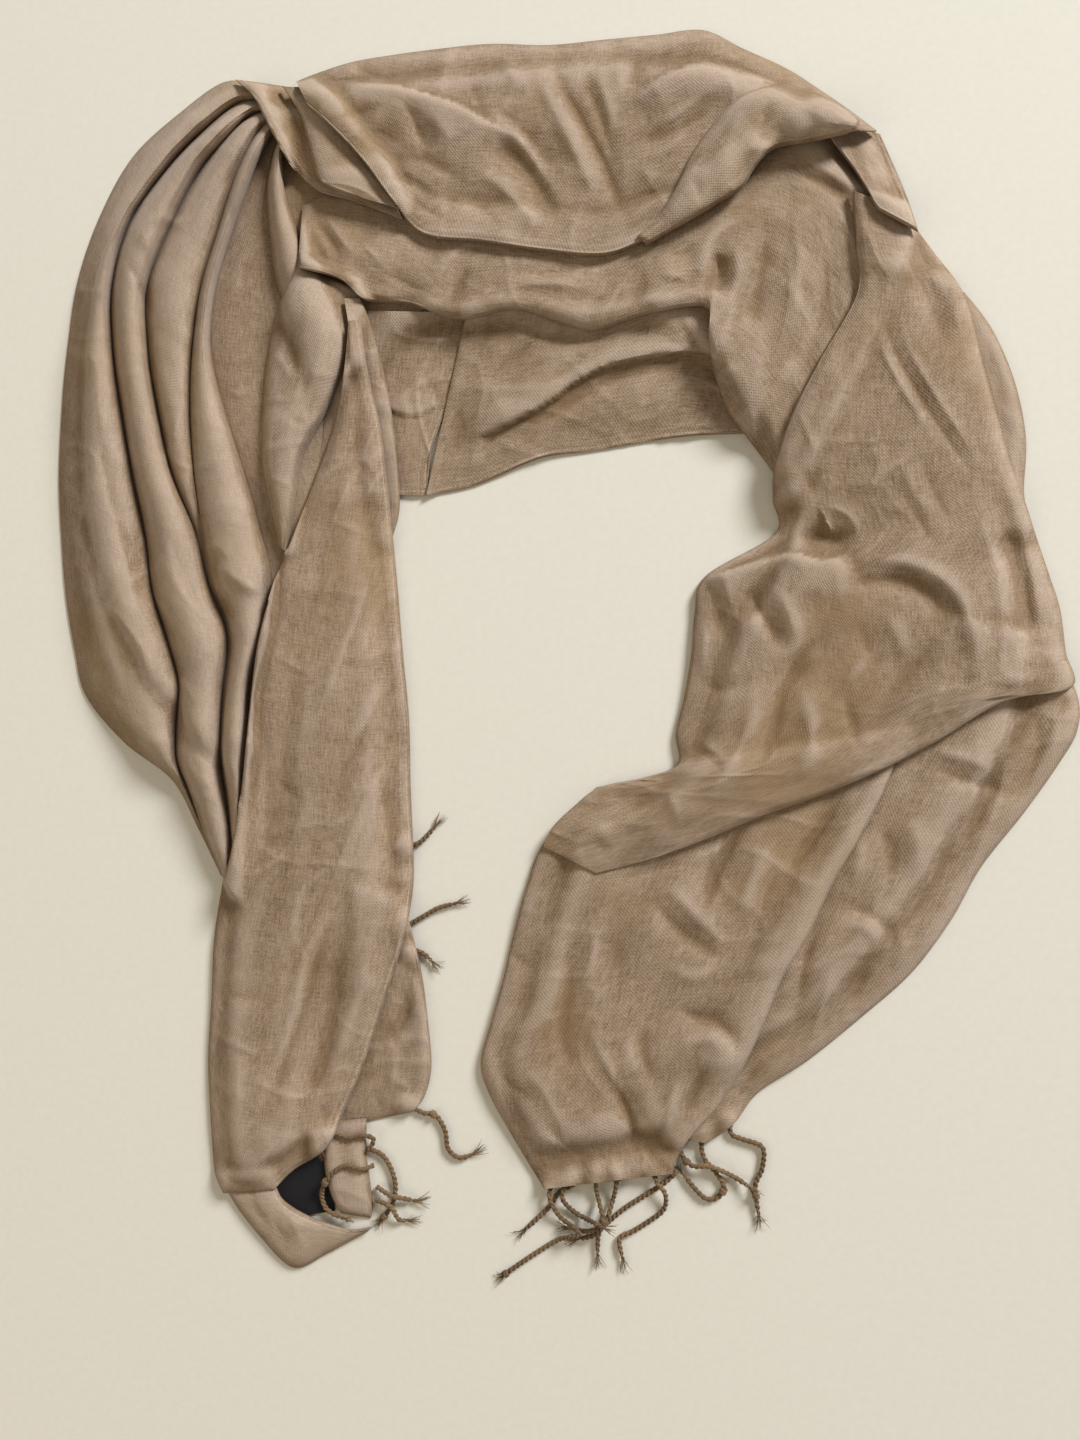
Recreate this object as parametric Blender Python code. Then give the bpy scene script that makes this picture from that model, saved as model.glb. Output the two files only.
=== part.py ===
"""A fringed scarf dropped in a loose arch on a flat surface, one solid for each stretch of cloth that shows.

Every table gives places in millimetres on the surface, X to the right and Y away from the near edge, as they
are seen from EYE straight above. A point that lies higher is drawn in towards the foot of that sight line.
The stretches are laid in order, each on the heap made so far, as thin walls of cloth.
"""

import math
from collections import namedtuple

import bpy
import numpy as np

MM = 0.001
EYE = (105.0, 0.0, 664.0)
ORIGIN = (-5.0, 34.0)  # the middle of the heap's outline, which becomes the part's origin
WALL = 1.5
GAP = 0.32
CELL = 1.5
PLAN = (-340.0, -360.0, 340.0, 440.0)  # the surface that the height map covers
DRAPE_REACH = 3.0  # how far a layer stands off the edge of what it hangs over
DRAPE_SOFTNESS = 4.0
LAID_ON = 0.2  # a layer lies on another one where that stands higher than this
ROW_STEP = 20.0
COLUMN_STEP = 15.0
GATHER_ROW_STEP = 18.0
HIDDEN_STEP = 42.0
LEAST_WIDTH = 30.0  # narrower stretches get as many columns as this
EDGE = 6.0  # the close rows that make a side's roll lie within this of it
EDGE_ROW = 0.35  # where the middle one of them lies, as a share of EDGE
ROLL = 1.5  # a folded edge's roll, as a share of how high the layer stands there
STEEPEST = 2.4  # the most that a steep wall is heightened to keep its thickness
SHARP_ANGLE = 50.0
CREASE_END = 0.15  # how much of a crease's height is left at its ends
BUNCHED = 0.45  # how high a gathered fold stands where the cloth is bunched, as a share of its crest
FOLD_FULLNESS = 0.6
FOLD_PLACES = (0, 0.12, 0.32, 0.5, 0.68, 0.88)
OUTER_FOLD_PLACES = (0, 0.04, 0.15, 0.35, 0.55, 0.75, 0.9)
FLAT_FOLD_PLACES = (0, 0.33, 0.67)
HIDDEN_HEIGHT = 6.0
HIDDEN_END = 0.45  # how high the hidden layers stand at the two ends, as a share of their height
STRAND = 2.6  # a strand of the fringe, across its corners
STRIP = 3.9  # the strip that the strands' roots lie in, across its corners
ROOT_LIFT = 0.07
STRAND_SIDES = 3
STRAND_STEP = 6.5
STRAND_REACH = 3.2  # a strand passes over all that lies this near its middle line
STRAND_CLEARANCE = 0.35
FINE = 40  # points read from a smooth curve for each of its rows, where a place on it is looked for

Section = namedtuple("Section", "left_x left_y right_x right_y left_rise mid_rise right_rise")
Crease = namedtuple("Crease", "height half_width fade points")
Step = namedtuple("Step", "height roll reach fade points")
Gather = namedtuple("Gather", "outer_x outer_y inner_x inner_y valley_1 valley_2 valley_3 valley_4 valley_5")
Fold = namedtuple("Fold", "crest floor lean first_row full_row fading_row last_row")

# The layers that nothing shows of: the outer and the inner edge of the arch, from the left end to the right one.
Hidden = namedtuple("Hidden", "outer_x outer_y inner_x inner_y")
HIDDEN = [
    Hidden(-186, -282, -140, -246),
    Hidden(-194, -225, -116, -205),
    Hidden(-190, -150, -98, -148),
    Hidden(-184, -90, -95, -90),
    Hidden(-190, -30, -97, -20),
    Hidden(-240, 30, -100, 50),
    Hidden(-276, 110, -108, 120),
    Hidden(-284, 190, -112, 185),
    Hidden(-274, 265, -102, 224),
    Hidden(-240, 332, -78, 240),
    Hidden(-186, 366, -45, 246),
    Hidden(-112, 380, -8, 240),
    Hidden(-30, 384, 24, 230),
    Hidden(50, 382, 70, 234),
    Hidden(118, 362, 112, 206),
    Hidden(170, 322, 138, 160),
    Hidden(212, 262, 152, 118),
    Hidden(240, 190, 140, 78),
    Hidden(256, 110, 116, 40),
    Hidden(268, 50, 106, 2),
    Hidden(262, -8, 84, -48),
    Hidden(232, -60, 36, -70),
    Hidden(200, -112, 16, -108),
    Hidden(158, -160, 4, -158),
    Hidden(112, -192, -16, -205),
    Hidden(72, -236, 2, -252),
]

# How high the hidden layers stand at each distance in from their edge, as a share of their height.
Ledge = namedtuple("Ledge", "inset level")
HIDDEN_EDGE = [
    Ledge(0.0, 0.30),
    Ledge(1.5, 0.45),
    Ledge(5.0, 0.52),
    Ledge(6.5, 0.80),
    Ledge(12.0, 0.90),
    Ledge(20.0, 1.00),
]

LOWER_BAND_BACK = [
    Section(-112, 252, -36, 246, 0, 1.5, 0),
    Section(-110, 216, -46, 216, 0, 1.5, 0),
    Section(-107, 187, -58, 188, 0, 1.5, 0),
    Section(-102, 160, -67, 161, 0, 1.0, 0),
    Section(-98, 138, -69, 137, 0, 0.5, 0),
]
LOWER_BAND = [
    Section(-45, 246, -70, 137, 1, 1.0, 0.5),
    Section(-20, 250, -40, 142, 1, 3.0, 1.0),
    Section(12, 243, 0, 157, 1, 5.0, 0.5),
    Section(40, 240, 30, 160, 1, 5.0, 0.5),
    Section(65, 244, 60, 164, 1, 5.0, 0.5),
    Section(98, 246, 90, 167, 0, 3.0, 0.5),
    Section(130, 222, 124, 167, 0, 1.0, 0.5),
]
LOWER_BAND_STEPS = [
    Step(6, 5, 30, 26, [(-44, 168), (-18, 178), (8, 191), (19, 199), (43, 210), (80, 215), (112, 212)]),
]

GATHERS = [
    Gather(-180, 397, -160, 360, 0.30, 0.46, 0.62, 0.76, 0.88),
    Gather(-201, 400, -162, 352, 0.28, 0.46, 0.64, 0.78, 0.89),
    Gather(-229, 384, -162, 343, 0.26, 0.45, 0.66, 0.78, 0.89),
    Gather(-262, 358, -160, 326, 0.24, 0.43, 0.66, 0.76, 0.88),
    Gather(-285, 321, -152, 302, 0.16, 0.37, 0.61, 0.68, 0.86),
    Gather(-300, 281, -140, 270, 0.15, 0.30, 0.53, 0.59, 0.84),
    Gather(-307, 240, -124, 236, 0.17, 0.30, 0.47, 0.53, 0.86),
    Gather(-311, 200, -116, 198, 0.21, 0.335, 0.45, 0.56, 0.90),
    Gather(-313, 155, -124, 158, 0.27, 0.41, 0.49, 0.66, 0.92),
    Gather(-311, 112, -136, 126, 0.33, 0.52, 0.55, 0.76, 0.93),
    Gather(-308, 78, -144, 92, 0.36, 0.59, 0.61, 0.84, 0.94),
    Gather(-302, 44, -150, 58, 0.42, 0.68, 0.70, 0.84, 0.93),
    Gather(-294, 15, -156, 24, 0.46, 0.67, 0.69, 0.80, 0.92),
    Gather(-268, -14, -162, -12, 0.33, 0.61, 0.63, 0.78, 0.92),
    Gather(-235, -38, -168, -46, 0.12, 0.51, 0.54, 0.70, 0.90),
    Gather(-217, -70, -176, -80, 0.08, 0.50, 0.54, 0.66, 0.90),
    Gather(-203, -97, -184, -112, 0.08, 0.48, 0.54, 0.64, 0.90),
]
GATHER_FOLDS = [
    Fold(17, 1.0, 1.5, 0, 2, 13, 15),
    Fold(19, 1.5, 1.0, 0, 2, 14, 18),
    Fold(17, 6.0, 1.0, 0, 2, 7, 10),
    Fold(18, 0.5, 0.9, 0, 2, 13, 18),
    Fold(1.5, 0.5, 1.0, 0, 1, 15, 16),
    Fold(13, 0.0, 1.0, 0, 1, 5, 8),
]
GATHER_CREASES = [
    Crease(5, 9, 14, [(-209, 96), (-198, 92), (-186, 85), (-172, 77)]),
]

INNER_LEFT_FOLD = [
    Section(-151, 283, -110, 264, 3, 5, 3),
    Section(-165, 256, -113, 246, 5, 10, 5),
    Section(-172, 225, -120, 224, 6, 12, 6),
    Section(-175, 190, -134, 190, 6, 12, 6),
    Section(-175, 160, -149, 162, 6, 11, 5),
    Section(-170, 134, -155, 130, 5, 9, 4),
    Section(-164, 108, -159, 104, 2, 4, 2),
]
FRONT_PANEL_BACK = [
    Section(-122, 260, -111, 259, 0, 2, 2),
    Section(-118, 236, -102, 232, 1, 4, 3),
    Section(-112, 205, -94, 200, 1, 4, 3),
    Section(-108, 170, -89, 165, 1, 4, 3),
    Section(-104, 135, -86, 128, 1, 3, 2),
    Section(-99, 108, -86, 104, 0, 1, 0),
]
LEFT_UNDER_END = [
    Section(-112, -104, -84, -112, 0, 1, 1),
    Section(-112, -126, -79, -130, 0, 3, 3),
    Section(-114, -152, -73, -155, 0, 4, 4),
    Section(-120, -182, -69, -185, 0, 5, 5),
    Section(-126, -212, -67, -211, 0, 4, 4),
    Section(-131, -236, -71, -229, 0, 3, 3),
    Section(-134, -253, -78, -239, 0, 1, 1),
]
LEFT_UNDER_CREASES = [
    Crease(-3, 9, 14, [(-97, -170), (-93, -190), (-92, -206)]),
]
FRONT_PANEL = [
    Section(-119, 246, -112, 246, 1, 2, 1),
    Section(-122, 216, -107, 214, 3, 6, 4),
    Section(-128, 183, -99, 180, 4, 8, 4),
    Section(-143, 144, -94, 140, 4, 9, 5),
    Section(-155, 115, -91, 110, 4, 8, 5),
    Section(-168, 84, -88, 78, 5, 8, 5),
    Section(-178, 48, -85, 42, 6, 8, 5),
    Section(-184, 4, -81, 0, 6, 8, 5),
    Section(-189, -44, -80, -42, 6, 8, 5),
    Section(-196, -83, -78, -90, 6, 8, 5),
    Section(-202, -106, -80, -114, 6, 8, 4),
    Section(-207, -138, -86, -140, 6, 7, 2),
    Section(-209, -178, -98, -176, 6, 6, 1),
    Section(-211, -212, -110, -212, 6, 6, 1),
    Section(-210, -240, -121, -238, 6, 7, 2),
    Section(-208, -270, -133, -264, 6, 9, 4),
    Section(-206, -286, -154, -279, 4, 6, 5),
    Section(-201, -297, -167, -292, 2, 2, 3),
]
FRONT_PANEL_CREASES = [
    Crease(2.5, 7, 30, [(-82, 0), (-101, -35), (-122, -76), (-133, -104), (-155, -153)]),
    Crease(-3.5, 7, 40, [(-122, -100), (-140, -150), (-150, -178), (-160, -216), (-172, -242), (-192, -272)]),
    Crease(-2, 7, 30, [(-96, 96), (-120, 32), (-144, -11)]),
    Crease(2, 9, 30, [(-148, 70), (-146, 20), (-152, -30), (-156, -78)]),
    Crease(-2, 7, 30, [(-170, 30), (-172, -20), (-172, -70), (-182, -120)]),
]
TURNED_HEM = [
    Section(-170, -280, -202, -286, 1, 2, 1),
    Section(-165, -294, -194, -302, 3, 5, 3),
    Section(-160, -300, -176, -323, 4, 6, 3),
    Section(-149, -306, -155, -340, 5, 7, 3),
    Section(-134, -311, -134, -330, 5, 6, 3),
    Section(-118, -314, -119, -321, 4, 4, 2),
    Section(-104, -311, -107, -314, 2, 2, 1),
]
END_TONGUE = [
    Section(-136, -249, -108, -245, 1, 2, 1),
    Section(-135, -264, -108, -266, 3, 5, 3),
    Section(-134, -280, -106, -282, 3, 6, 3),
    Section(-130, -294, -104, -296, 3, 6, 3),
    Section(-124, -304, -105, -306, 2, 4, 2),
]
LABEL = [
    Section(-172, -284, -132, -262, 0, 0.5, 0),
    Section(-170, -298, -130, -282, 0, 0.5, 0),
    Section(-160, -310, -128, -303, 0, 0.5, 0),
]

MIDDLE_BAND = [
    Section(-149, 319, -152, 281, 4, 7, 5),
    Section(-130, 326, -125, 272, 1, 6, 6),
    Section(-110, 330, -108, 258, 1, 6, 6),
    Section(-85, 320, -80, 254, 1, 6, 6),
    Section(-60, 308, -50, 243, 1, 6, 7),
    Section(-28, 302, -15, 247, 1, 6, 7),
    Section(5, 298, 12, 238, 1, 6, 7),
    Section(35, 294, 33, 232, 1, 6, 7),
    Section(65, 298, 66, 240, 1, 6, 7),
    Section(94, 308, 98, 242, 1, 6, 6),
    Section(118, 320, 100, 225, 1, 7, 6),
    Section(148, 338, 103, 204, 1, 8, 6),
    Section(176, 338, 111, 181, 2, 8, 6),
    Section(203, 308, 122, 165, 2, 8, 6),
    Section(212, 280, 137, 144, 2, 6, 4),
    Section(200, 240, 146, 128, 0, 3, 1),
]
MIDDLE_BAND_CREASES = [
    Crease(-6, 8, 8, [(102, 276), (104, 262), (101, 248)]),
    Crease(5, 10, 14, [(94, 282), (90, 262), (92, 248)]),
    Crease(-4, 7, 20, [(-58, 250), (-46, 262), (-44, 280)]),
    Crease(-4, 7, 20, [(-4, 248), (6, 262), (30, 262), (60, 254)]),
]

COLLAR_LEFT_END = [
    Section(-193, 401, -152, 392, 3, 5, 2),
    Section(-181, 389, -140, 380, 4, 6, 2),
    Section(-173, 374, -126, 368, 4, 6, 2),
    Section(-165, 359, -112, 354, 4, 6, 2),
    Section(-154, 341, -100, 338, 4, 5, 2),
    Section(-140, 328, -92, 324, 3, 4, 1),
    Section(-119, 321, -84, 306, 1, 2, 1),
]
COLLAR_LEFT_LAYER = [
    Section(-162, 394, -144, 392, 2, 3, 1),
    Section(-151, 377, -130, 380, 3, 4, 1),
    Section(-146, 361, -118, 364, 3, 4, 1),
    Section(-142, 345, -106, 348, 3, 4, 1),
    Section(-136, 332, -94, 334, 3, 4, 1),
    Section(-113, 322, -84, 312, 2, 3, 1),
]
COLLAR = [
    Section(-153, 396, -145, 380, 3, 4, 2),
    Section(-140, 400, -131, 367, 5, 6, 2),
    Section(-117, 405, -110, 344, 6, 7, 2),
    Section(-90, 407, -91, 318, 6, 8, 2),
    Section(-62, 408, -72, 296, 6, 9, 3),
    Section(-30, 408, -36, 289, 6, 9, 4),
    Section(5, 404, 2, 281, 6, 8, 4),
    Section(40, 404, 37, 276, 6, 8, 4),
    Section(70, 404, 60, 282, 6, 8, 4),
    Section(97, 404, 86, 294, 6, 8, 4),
    Section(120, 391, 106, 303, 6, 8, 4),
    Section(145, 377, 121, 313, 6, 8, 4),
    Section(165, 362, 132, 329, 6, 8, 4),
    Section(180, 350, 150, 334, 6, 7, 4),
    Section(195, 337, 176, 339, 4, 5, 3),
]
COLLAR_CREASES = [
    Crease(-5, 7, 16, [(2, 401), (14, 377), (23, 360), (32, 342), (40, 325), (49, 303)]),
    Crease(4, 9, 20, [(-4, 396), (4, 374), (12, 352), (26, 322)]),
    Crease(-3.6, 8, 20, [(-40, 352), (-22, 342), (-7, 328), (8, 302), (18, 284)]),
]
COLLAR_STEPS = [
    Step(5, 5, 26, 26, [(-16, 352), (-36, 365), (-53, 375), (-73, 383), (-94, 390), (-114, 393), (-140, 394)]),
    Step(4.5, 5, 20, 14, [(142, 368), (130, 374), (121, 378), (97, 386), (82, 383), (70, 378), (55, 369)]),
]
COLLAR_RIGHT_END = [
    Section(162, 354, 197, 335, 1, 2, 2),
    Section(168, 338, 204, 318, 2, 4, 3),
    Section(184, 314, 211, 300, 2, 4, 3),
    Section(196, 292, 218, 278, 2, 3, 2),
]
COLLAR_FLAP = [
    Section(58, 286, 64, 281, 2, 3, 2),
    Section(71, 297, 78, 288, 3, 4, 3),
    Section(81, 313, 94, 296, 4, 6, 3),
    Section(90, 331, 107, 303, 5, 7, 3),
    Section(103, 349, 119, 310, 5, 8, 3),
    Section(120, 364, 128, 323, 5, 9, 3),
    Section(141, 368, 139, 332, 5, 9, 3),
    Section(163, 361, 159, 334, 5, 8, 3),
    Section(186, 344, 184, 338, 4, 5, 2),
]

RIGHT_OUTER_FOLD = [
    Section(222, 250, 243, 242, 0, 2, 2),
    Section(232, 218, 258, 220, 0, 4, 4),
    Section(240, 190, 270, 190, 0, 5, 5),
    Section(247, 160, 276, 158, 0, 5, 5),
    Section(253, 132, 275, 128, 0, 4, 4),
    Section(258, 106, 278, 108, 0, 1, 1),
]
RIGHT_BACK = [
    Section(236, 52, 290, 44, 0, 1, 0),
    Section(222, 24, 303, 14, 0, 4, 4),
    Section(206, 4, 303, -6, 0, 5, 6),
    Section(190, -20, 293, -25, 0, 6, 6),
    Section(176, -50, 275, -52, 0, 6, 6),
    Section(160, -80, 252, -83, 0, 6, 6),
    Section(145, -110, 236, -113, 0, 6, 6),
    Section(130, -138, 215, -143, 0, 6, 6),
    Section(115, -165, 189, -168, 0, 5, 6),
    Section(100, -190, 157, -196, 0, 5, 6),
    Section(88, -214, 129, -216, 0, 4, 5),
    Section(80, -232, 114, -236, 0, 3, 3),
    Section(76, -243, 98, -248, 0, 1, 1),
]
RIGHT_BACK_CREASES = [
    Crease(-4, 8, 16, [(221, -22), (248, -34), (275, -44)]),
    Crease(3, 8, 16, [(177, -109), (190, -112), (206, -124)]),
]
RIGHT_LOWER = [
    Section(34, -40, 212, -8, 0, 2, 0),
    Section(3, -73, 194, -52, 5, 6, 7),
    Section(-8, -100, 171, -94, 6, 6, 10),
    Section(-16, -129, 157, -124, 6, 6, 12),
    Section(-22, -155, 143, -148, 6, 6, 12),
    Section(-29, -180, 132, -176, 6, 6, 12),
    Section(-36, -207, 118, -206, 6, 7, 11),
    Section(-31, -225, 103, -229, 6, 7, 9),
    Section(-21, -243, 90, -244, 5, 7, 7),
    Section(-8, -264, 82, -257, 4, 5, 5),
    Section(3, -281, 79, -267, 1, 1, 1),
]
RIGHT_LOWER_CREASES = [
    Crease(4, 10, 20, [(80, -184), (96, -186), (110, -190), (114, -202), (102, -222)]),
    Crease(-4, 9, 14, [(96, -200), (92, -216), (84, -232)]),
    Crease(-3, 9, 24, [(31, -181), (44, -211), (54, -240), (55, -262)]),
    Crease(-3, 9, 20, [(66, -103), (82, -122), (101, -135)]),
]
RIGHT_FRONT = [
    Section(182, 304, 208, 292, 3, 5, 2),
    Section(184, 270, 226, 266, 4, 7, 4),
    Section(184, 244, 243, 240, 4, 8, 5),
    Section(163, 207, 252, 205, 4, 9, 6),
    Section(148, 177, 260, 174, 5, 10, 6),
    Section(138, 147, 268, 144, 5, 9, 6),
    Section(137, 128, 275, 124, 5, 8, 6),
    Section(138, 108, 281, 104, 4, 8, 7),
    Section(98, 84, 288, 82, 5, 10, 7),
    Section(92, 62, 294, 62, 6, 10, 7),
    Section(90, 38, 297, 38, 6, 9, 7),
    Section(86, 14, 300, 18, 6, 9, 6),
    Section(81, -8, 264, 10, 5, 9, 5),
    Section(82, -26, 222, -16, 5, 9, 6),
    Section(62, -34, 173, -40, 4, 9, 6),
    Section(36, -40, 131, -56, 4, 7, 6),
    Section(20, -52, 99, -70, 4, 4, 4),
    Section(8, -64, 66, -82, 3, 2, 1),
    Section(2, -76, 34, -91, 1, 1, 0),
]
RIGHT_FRONT_CREASES = [
    Crease(-5, 9, 10, [(150, 106), (166, 108), (178, 116)]),
    Crease(5, 11, 26, [(199, 89), (221, 84), (236, 71), (245, 50), (249, 28)]),
    Crease(-4, 10, 20, [(180, 78), (206, 78), (224, 68), (230, 46)]),
    Crease(-5, 10, 20, [(145, 30), (138, 6), (124, -32), (110, -55)]),
    Crease(4, 12, 20, [(160, 70), (165, 40), (160, 10), (148, -24)]),
    Crease(-3.5, 8, 22, [(198, 290), (212, 264), (225, 236), (234, 210), (240, 192)]),
    Crease(-3, 9, 20, [(121, 80), (130, 62), (139, 45)]),
]
RIGHT_FRONT_STEPS = [
    Step(6, 5, 24, 10, [(180, 97), (172, 94), (163, 93), (149, 97), (125, 92), (98, 83)]),
]

# The roots of each fringe lie in a narrow strip, just under the cloth's edge. A strand runs from its root on.
Fringe = namedtuple("Fringe", "strip strands")
FRINGES = {
    "left_end_fringe": Fringe(
        [(-107, -262), (-103, -273), (-101, -285), (-103, -298)],
        [
            [(-107, -263), (-98, -266), (-92, -274), (-89, -285), (-91, -296), (-98, -306)],
            [(-101, -286), (-92, -291), (-84, -292), (-76, -293)],
            [(-102, -294), (-92, -298), (-87, -305), (-81, -305)],
            [(-103, -273), (-111, -276), (-120, -274), (-130, -280), (-136, -291), (-133, -302), (-122, -307)],
            [(-106, -264), (-103, -257), (-110, -255), (-118, -257), (-127, -255), (-136, -257), (-137, -264)],
        ],
    ),
    "left_edge_fringe": Fringe(
        [(-92, -237), (-80, -233)],
        [
            [(-82, -234), (-72, -239), (-64, -240), (-58, -249), (-56, -260), (-49, -265), (-40, -262)],
        ],
    ),
    "left_side_fringe_upper": Fringe(
        [(-84, -82), (-84, -71)],
        [
            [(-84, -77), (-75, -75), (-69, -70), (-64, -64)],
        ],
    ),
    "left_side_fringe_lower": Fringe(
        [(-83, -124), (-80, -142)],
        [
            [(-83, -126), (-71, -119), (-62, -114), (-51, -111)],
            [(-80, -140), (-74, -141), (-69, -144), (-66, -147)],
        ],
    ),
    "right_end_fringe": Fringe(
        [(8, -271), (24, -267), (42, -264), (60, -261), (75, -257)],
        [
            [(74, -258), (80, -266), (72, -274), (62, -281), (52, -288), (43, -296), (36, -304), (35, -318)],
            [(66, -260), (70, -272), (75, -279), (74, -288), (66, -295), (56, -302), (48, -307), (50, -319)],
            [(58, -262), (54, -269), (44, -272), (32, -272), (20, -277), (11, -283), (6, -291), (-9, -306)],
            [(46, -264), (46, -276), (43, -288), (40, -297), (33, -306), (22, -309)],
            [(34, -266), (34, -277), (36, -287), (38, -298), (30, -304), (18, -303)],
            [(22, -268), (15, -279), (14, -286), (21, -293), (31, -298), (38, -301)],
            [(10, -271), (6, -284), (12, -296), (24, -306), (12, -310), (1, -317), (-10, -325), (-22, -334)],
        ],
    ),
    "right_back_fringe": Fringe(
        [(92, -240), (104, -236), (114, -231)],
        [
            [(113, -232), (113, -241), (120, -244), (131, -248), (131, -260), (127, -271), (129, -288)],
            [(97, -239), (96, -249), (98, -257), (104, -264), (109, -272), (105, -279), (97, -279), (85, -266)],
            [(93, -240), (84, -252), (90, -261), (100, -261), (110, -264), (118, -268), (124, -272)],
        ],
    ),
}

FRINGE_ON_THE_TONGUE = "left_end_fringe"

CLOTH = (0.34, 0.24, 0.17)
FRINGE_COLOUR = (0.20, 0.13, 0.085)
LABEL_COLOUR = (0.012, 0.012, 0.014)


def clear_scene():
    for thing in list(bpy.data.objects):
        bpy.data.objects.remove(thing)


def material(name, colour, roughness=0.85):
    made = bpy.data.materials.new(name)
    made.use_nodes = True
    shader = made.node_tree.nodes["Principled BSDF"]
    shader.inputs["Base Color"].default_value = (*colour, 1)
    shader.inputs["Roughness"].default_value = roughness
    shader.inputs["Metallic"].default_value = 0
    made.diffuse_color = (*colour, 1)
    return made


def windowed(values, reach, pick):
    """Each cell's highest or mean value within reach cells, along both axes."""
    for axis in (0, 1):
        shifts = [np.roll(values, step, axis) for step in range(-reach, reach + 1)]
        values = pick(shifts, axis=0)
    return values


def blend(values, places):
    """A smooth curve through the rows of values, at places counted in rows."""
    values = np.asarray(values, float)
    last = len(values) - 1
    row = np.clip(np.floor(places).astype(int), 0, last - 1)
    t = (places - row)[:, None]
    before = values[np.maximum(row - 1, 0)]
    start, end = values[row], values[row + 1]
    after = values[np.minimum(row + 2, last)]
    out, into = (end - before) / 2, (after - start) / 2
    return (
        (2 * t**3 - 3 * t**2 + 1) * start
        + (t**3 - 2 * t**2 + t) * out
        + (3 * t**2 - 2 * t**3) * end
        + (t**3 - t**2) * into
    )


def even_places(points, step):
    """Places along a table's rows, about step mm apart along the points."""
    fine = np.linspace(0, len(points) - 1, FINE * len(points))
    path = blend(points, fine)
    run = np.concatenate([[0], np.cumsum(np.linalg.norm(np.diff(path, axis=0), axis=1))])
    count = max(2, round(run[-1] / step)) + 1
    return np.interp(np.linspace(0, run[-1], count), run, fine)


def rounded(distance, radius):
    """The profile of a roll: 0 at the edge, 1 from radius on."""
    t = np.clip(distance / np.maximum(radius, 1e-6), 0, 1)
    return np.sqrt(1 - (1 - t) ** 2)


def to_line(x, y, points):
    """The distance to a polyline, the side of it, and the way along it from the nearer end."""
    points = np.asarray(points, float)
    best = np.full(x.shape, 1e9)
    side = np.ones(x.shape)
    along = np.zeros(x.shape)
    run = 0.0
    total = np.linalg.norm(np.diff(points, axis=0), axis=1).sum()
    for (ax, ay), (bx, by) in zip(points[:-1], points[1:]):
        length = math.hypot(bx - ax, by - ay)
        t = np.clip(((x - ax) * (bx - ax) + (y - ay) * (by - ay)) / length**2, 0, 1)
        distance = np.hypot(x - ax - t * (bx - ax), y - ay - t * (by - ay))
        near = distance < best
        best = np.where(near, distance, best)
        side = np.where(near, np.sign((bx - ax) * (y - ay) - (by - ay) * (x - ax)), side)
        along = np.where(near, run + t * length, along)
        run += length
    return best, side, np.minimum(along, total - along)


def relief(x, y, creases, steps):
    """How much the creases raise the cloth at each point, and the layers that lie over it."""
    height = np.zeros(x.shape)
    for crease in creases:
        distance, _, from_end = to_line(x, y, crease.points)
        fade = CREASE_END + (1 - CREASE_END) * np.clip(from_end / crease.fade, 0, 1)
        height += crease.height * np.exp(-((distance / crease.half_width) ** 2)) * fade
    for step in steps:
        distance, side, from_end = to_line(x, y, step.points)
        fade = np.clip(from_end / step.fade, 0, 1)
        over = rounded(distance, step.roll) * np.exp(-((distance / step.reach) ** 2))
        height += np.where(side > 0, step.height * over * fade, 0)
    return height


def drawn_in(x, y, z):
    """The true place of a point seen at x, y that lies z mm up."""
    share = z / EYE[2]
    return x + (EYE[0] - x) * share, y + (EYE[1] - y) * share


class Heap:
    """The height of everything laid so far, on a grid of square cells."""

    def __init__(self):
        self.size = (int((PLAN[2] - PLAN[0]) / CELL), int((PLAN[3] - PLAN[1]) / CELL))
        self.top = np.zeros(self.size)
        self.soft = self.top

    def cells(self, x, y):
        i = np.clip(np.round((x - PLAN[0]) / CELL).astype(int), 0, self.size[0] - 1)
        j = np.clip(np.round((y - PLAN[1]) / CELL).astype(int), 0, self.size[1] - 1)
        return i, j

    def soften(self, reach=DRAPE_REACH, softness=DRAPE_SOFTNESS):
        wide = windowed(self.top, round(reach / CELL), np.max)
        for _ in range(3):
            wide = windowed(wide, round(softness / CELL / 2), np.mean)
        self.soft = np.maximum(wide, self.top)

    def draped(self, x, y):
        fx = np.clip((x - PLAN[0]) / CELL, 0, self.size[0] - 1.001)
        fy = np.clip((y - PLAN[1]) / CELL, 0, self.size[1] - 1.001)
        i, j = fx.astype(int), fy.astype(int)
        s, t = fx - i, fy - j
        near = self.soft[i, j] * (1 - s) + self.soft[i + 1, j] * s
        far = self.soft[i, j + 1] * (1 - s) + self.soft[i + 1, j + 1] * s
        return near * (1 - t) + far * t

    def add(self, points, faces):
        samples, _ = facet_samples(points, faces)
        i, j = self.cells(samples[..., 0], samples[..., 1])
        np.maximum.at(self.top, (i, j), samples[..., 2])

    def clear_of(self, points, faces):
        """The points, lifted until their facets pass GAP above all that is laid."""
        need = windowed(self.top, 1, np.max)
        need = np.where(need > 0, need + GAP, 0)
        samples, weights = facet_samples(points, faces)
        i, j = self.cells(samples[..., 0], samples[..., 1])
        short = np.maximum(need[i, j] - samples[..., 2], 0)
        raised = short[..., None] * weights / (weights**2).sum(axis=1, keepdims=True)
        lift = np.zeros(len(points))
        np.maximum.at(lift, faces.ravel(), raised.max(axis=1).ravel())
        points = points.copy()
        points[:, 2] += lift
        return points


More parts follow.
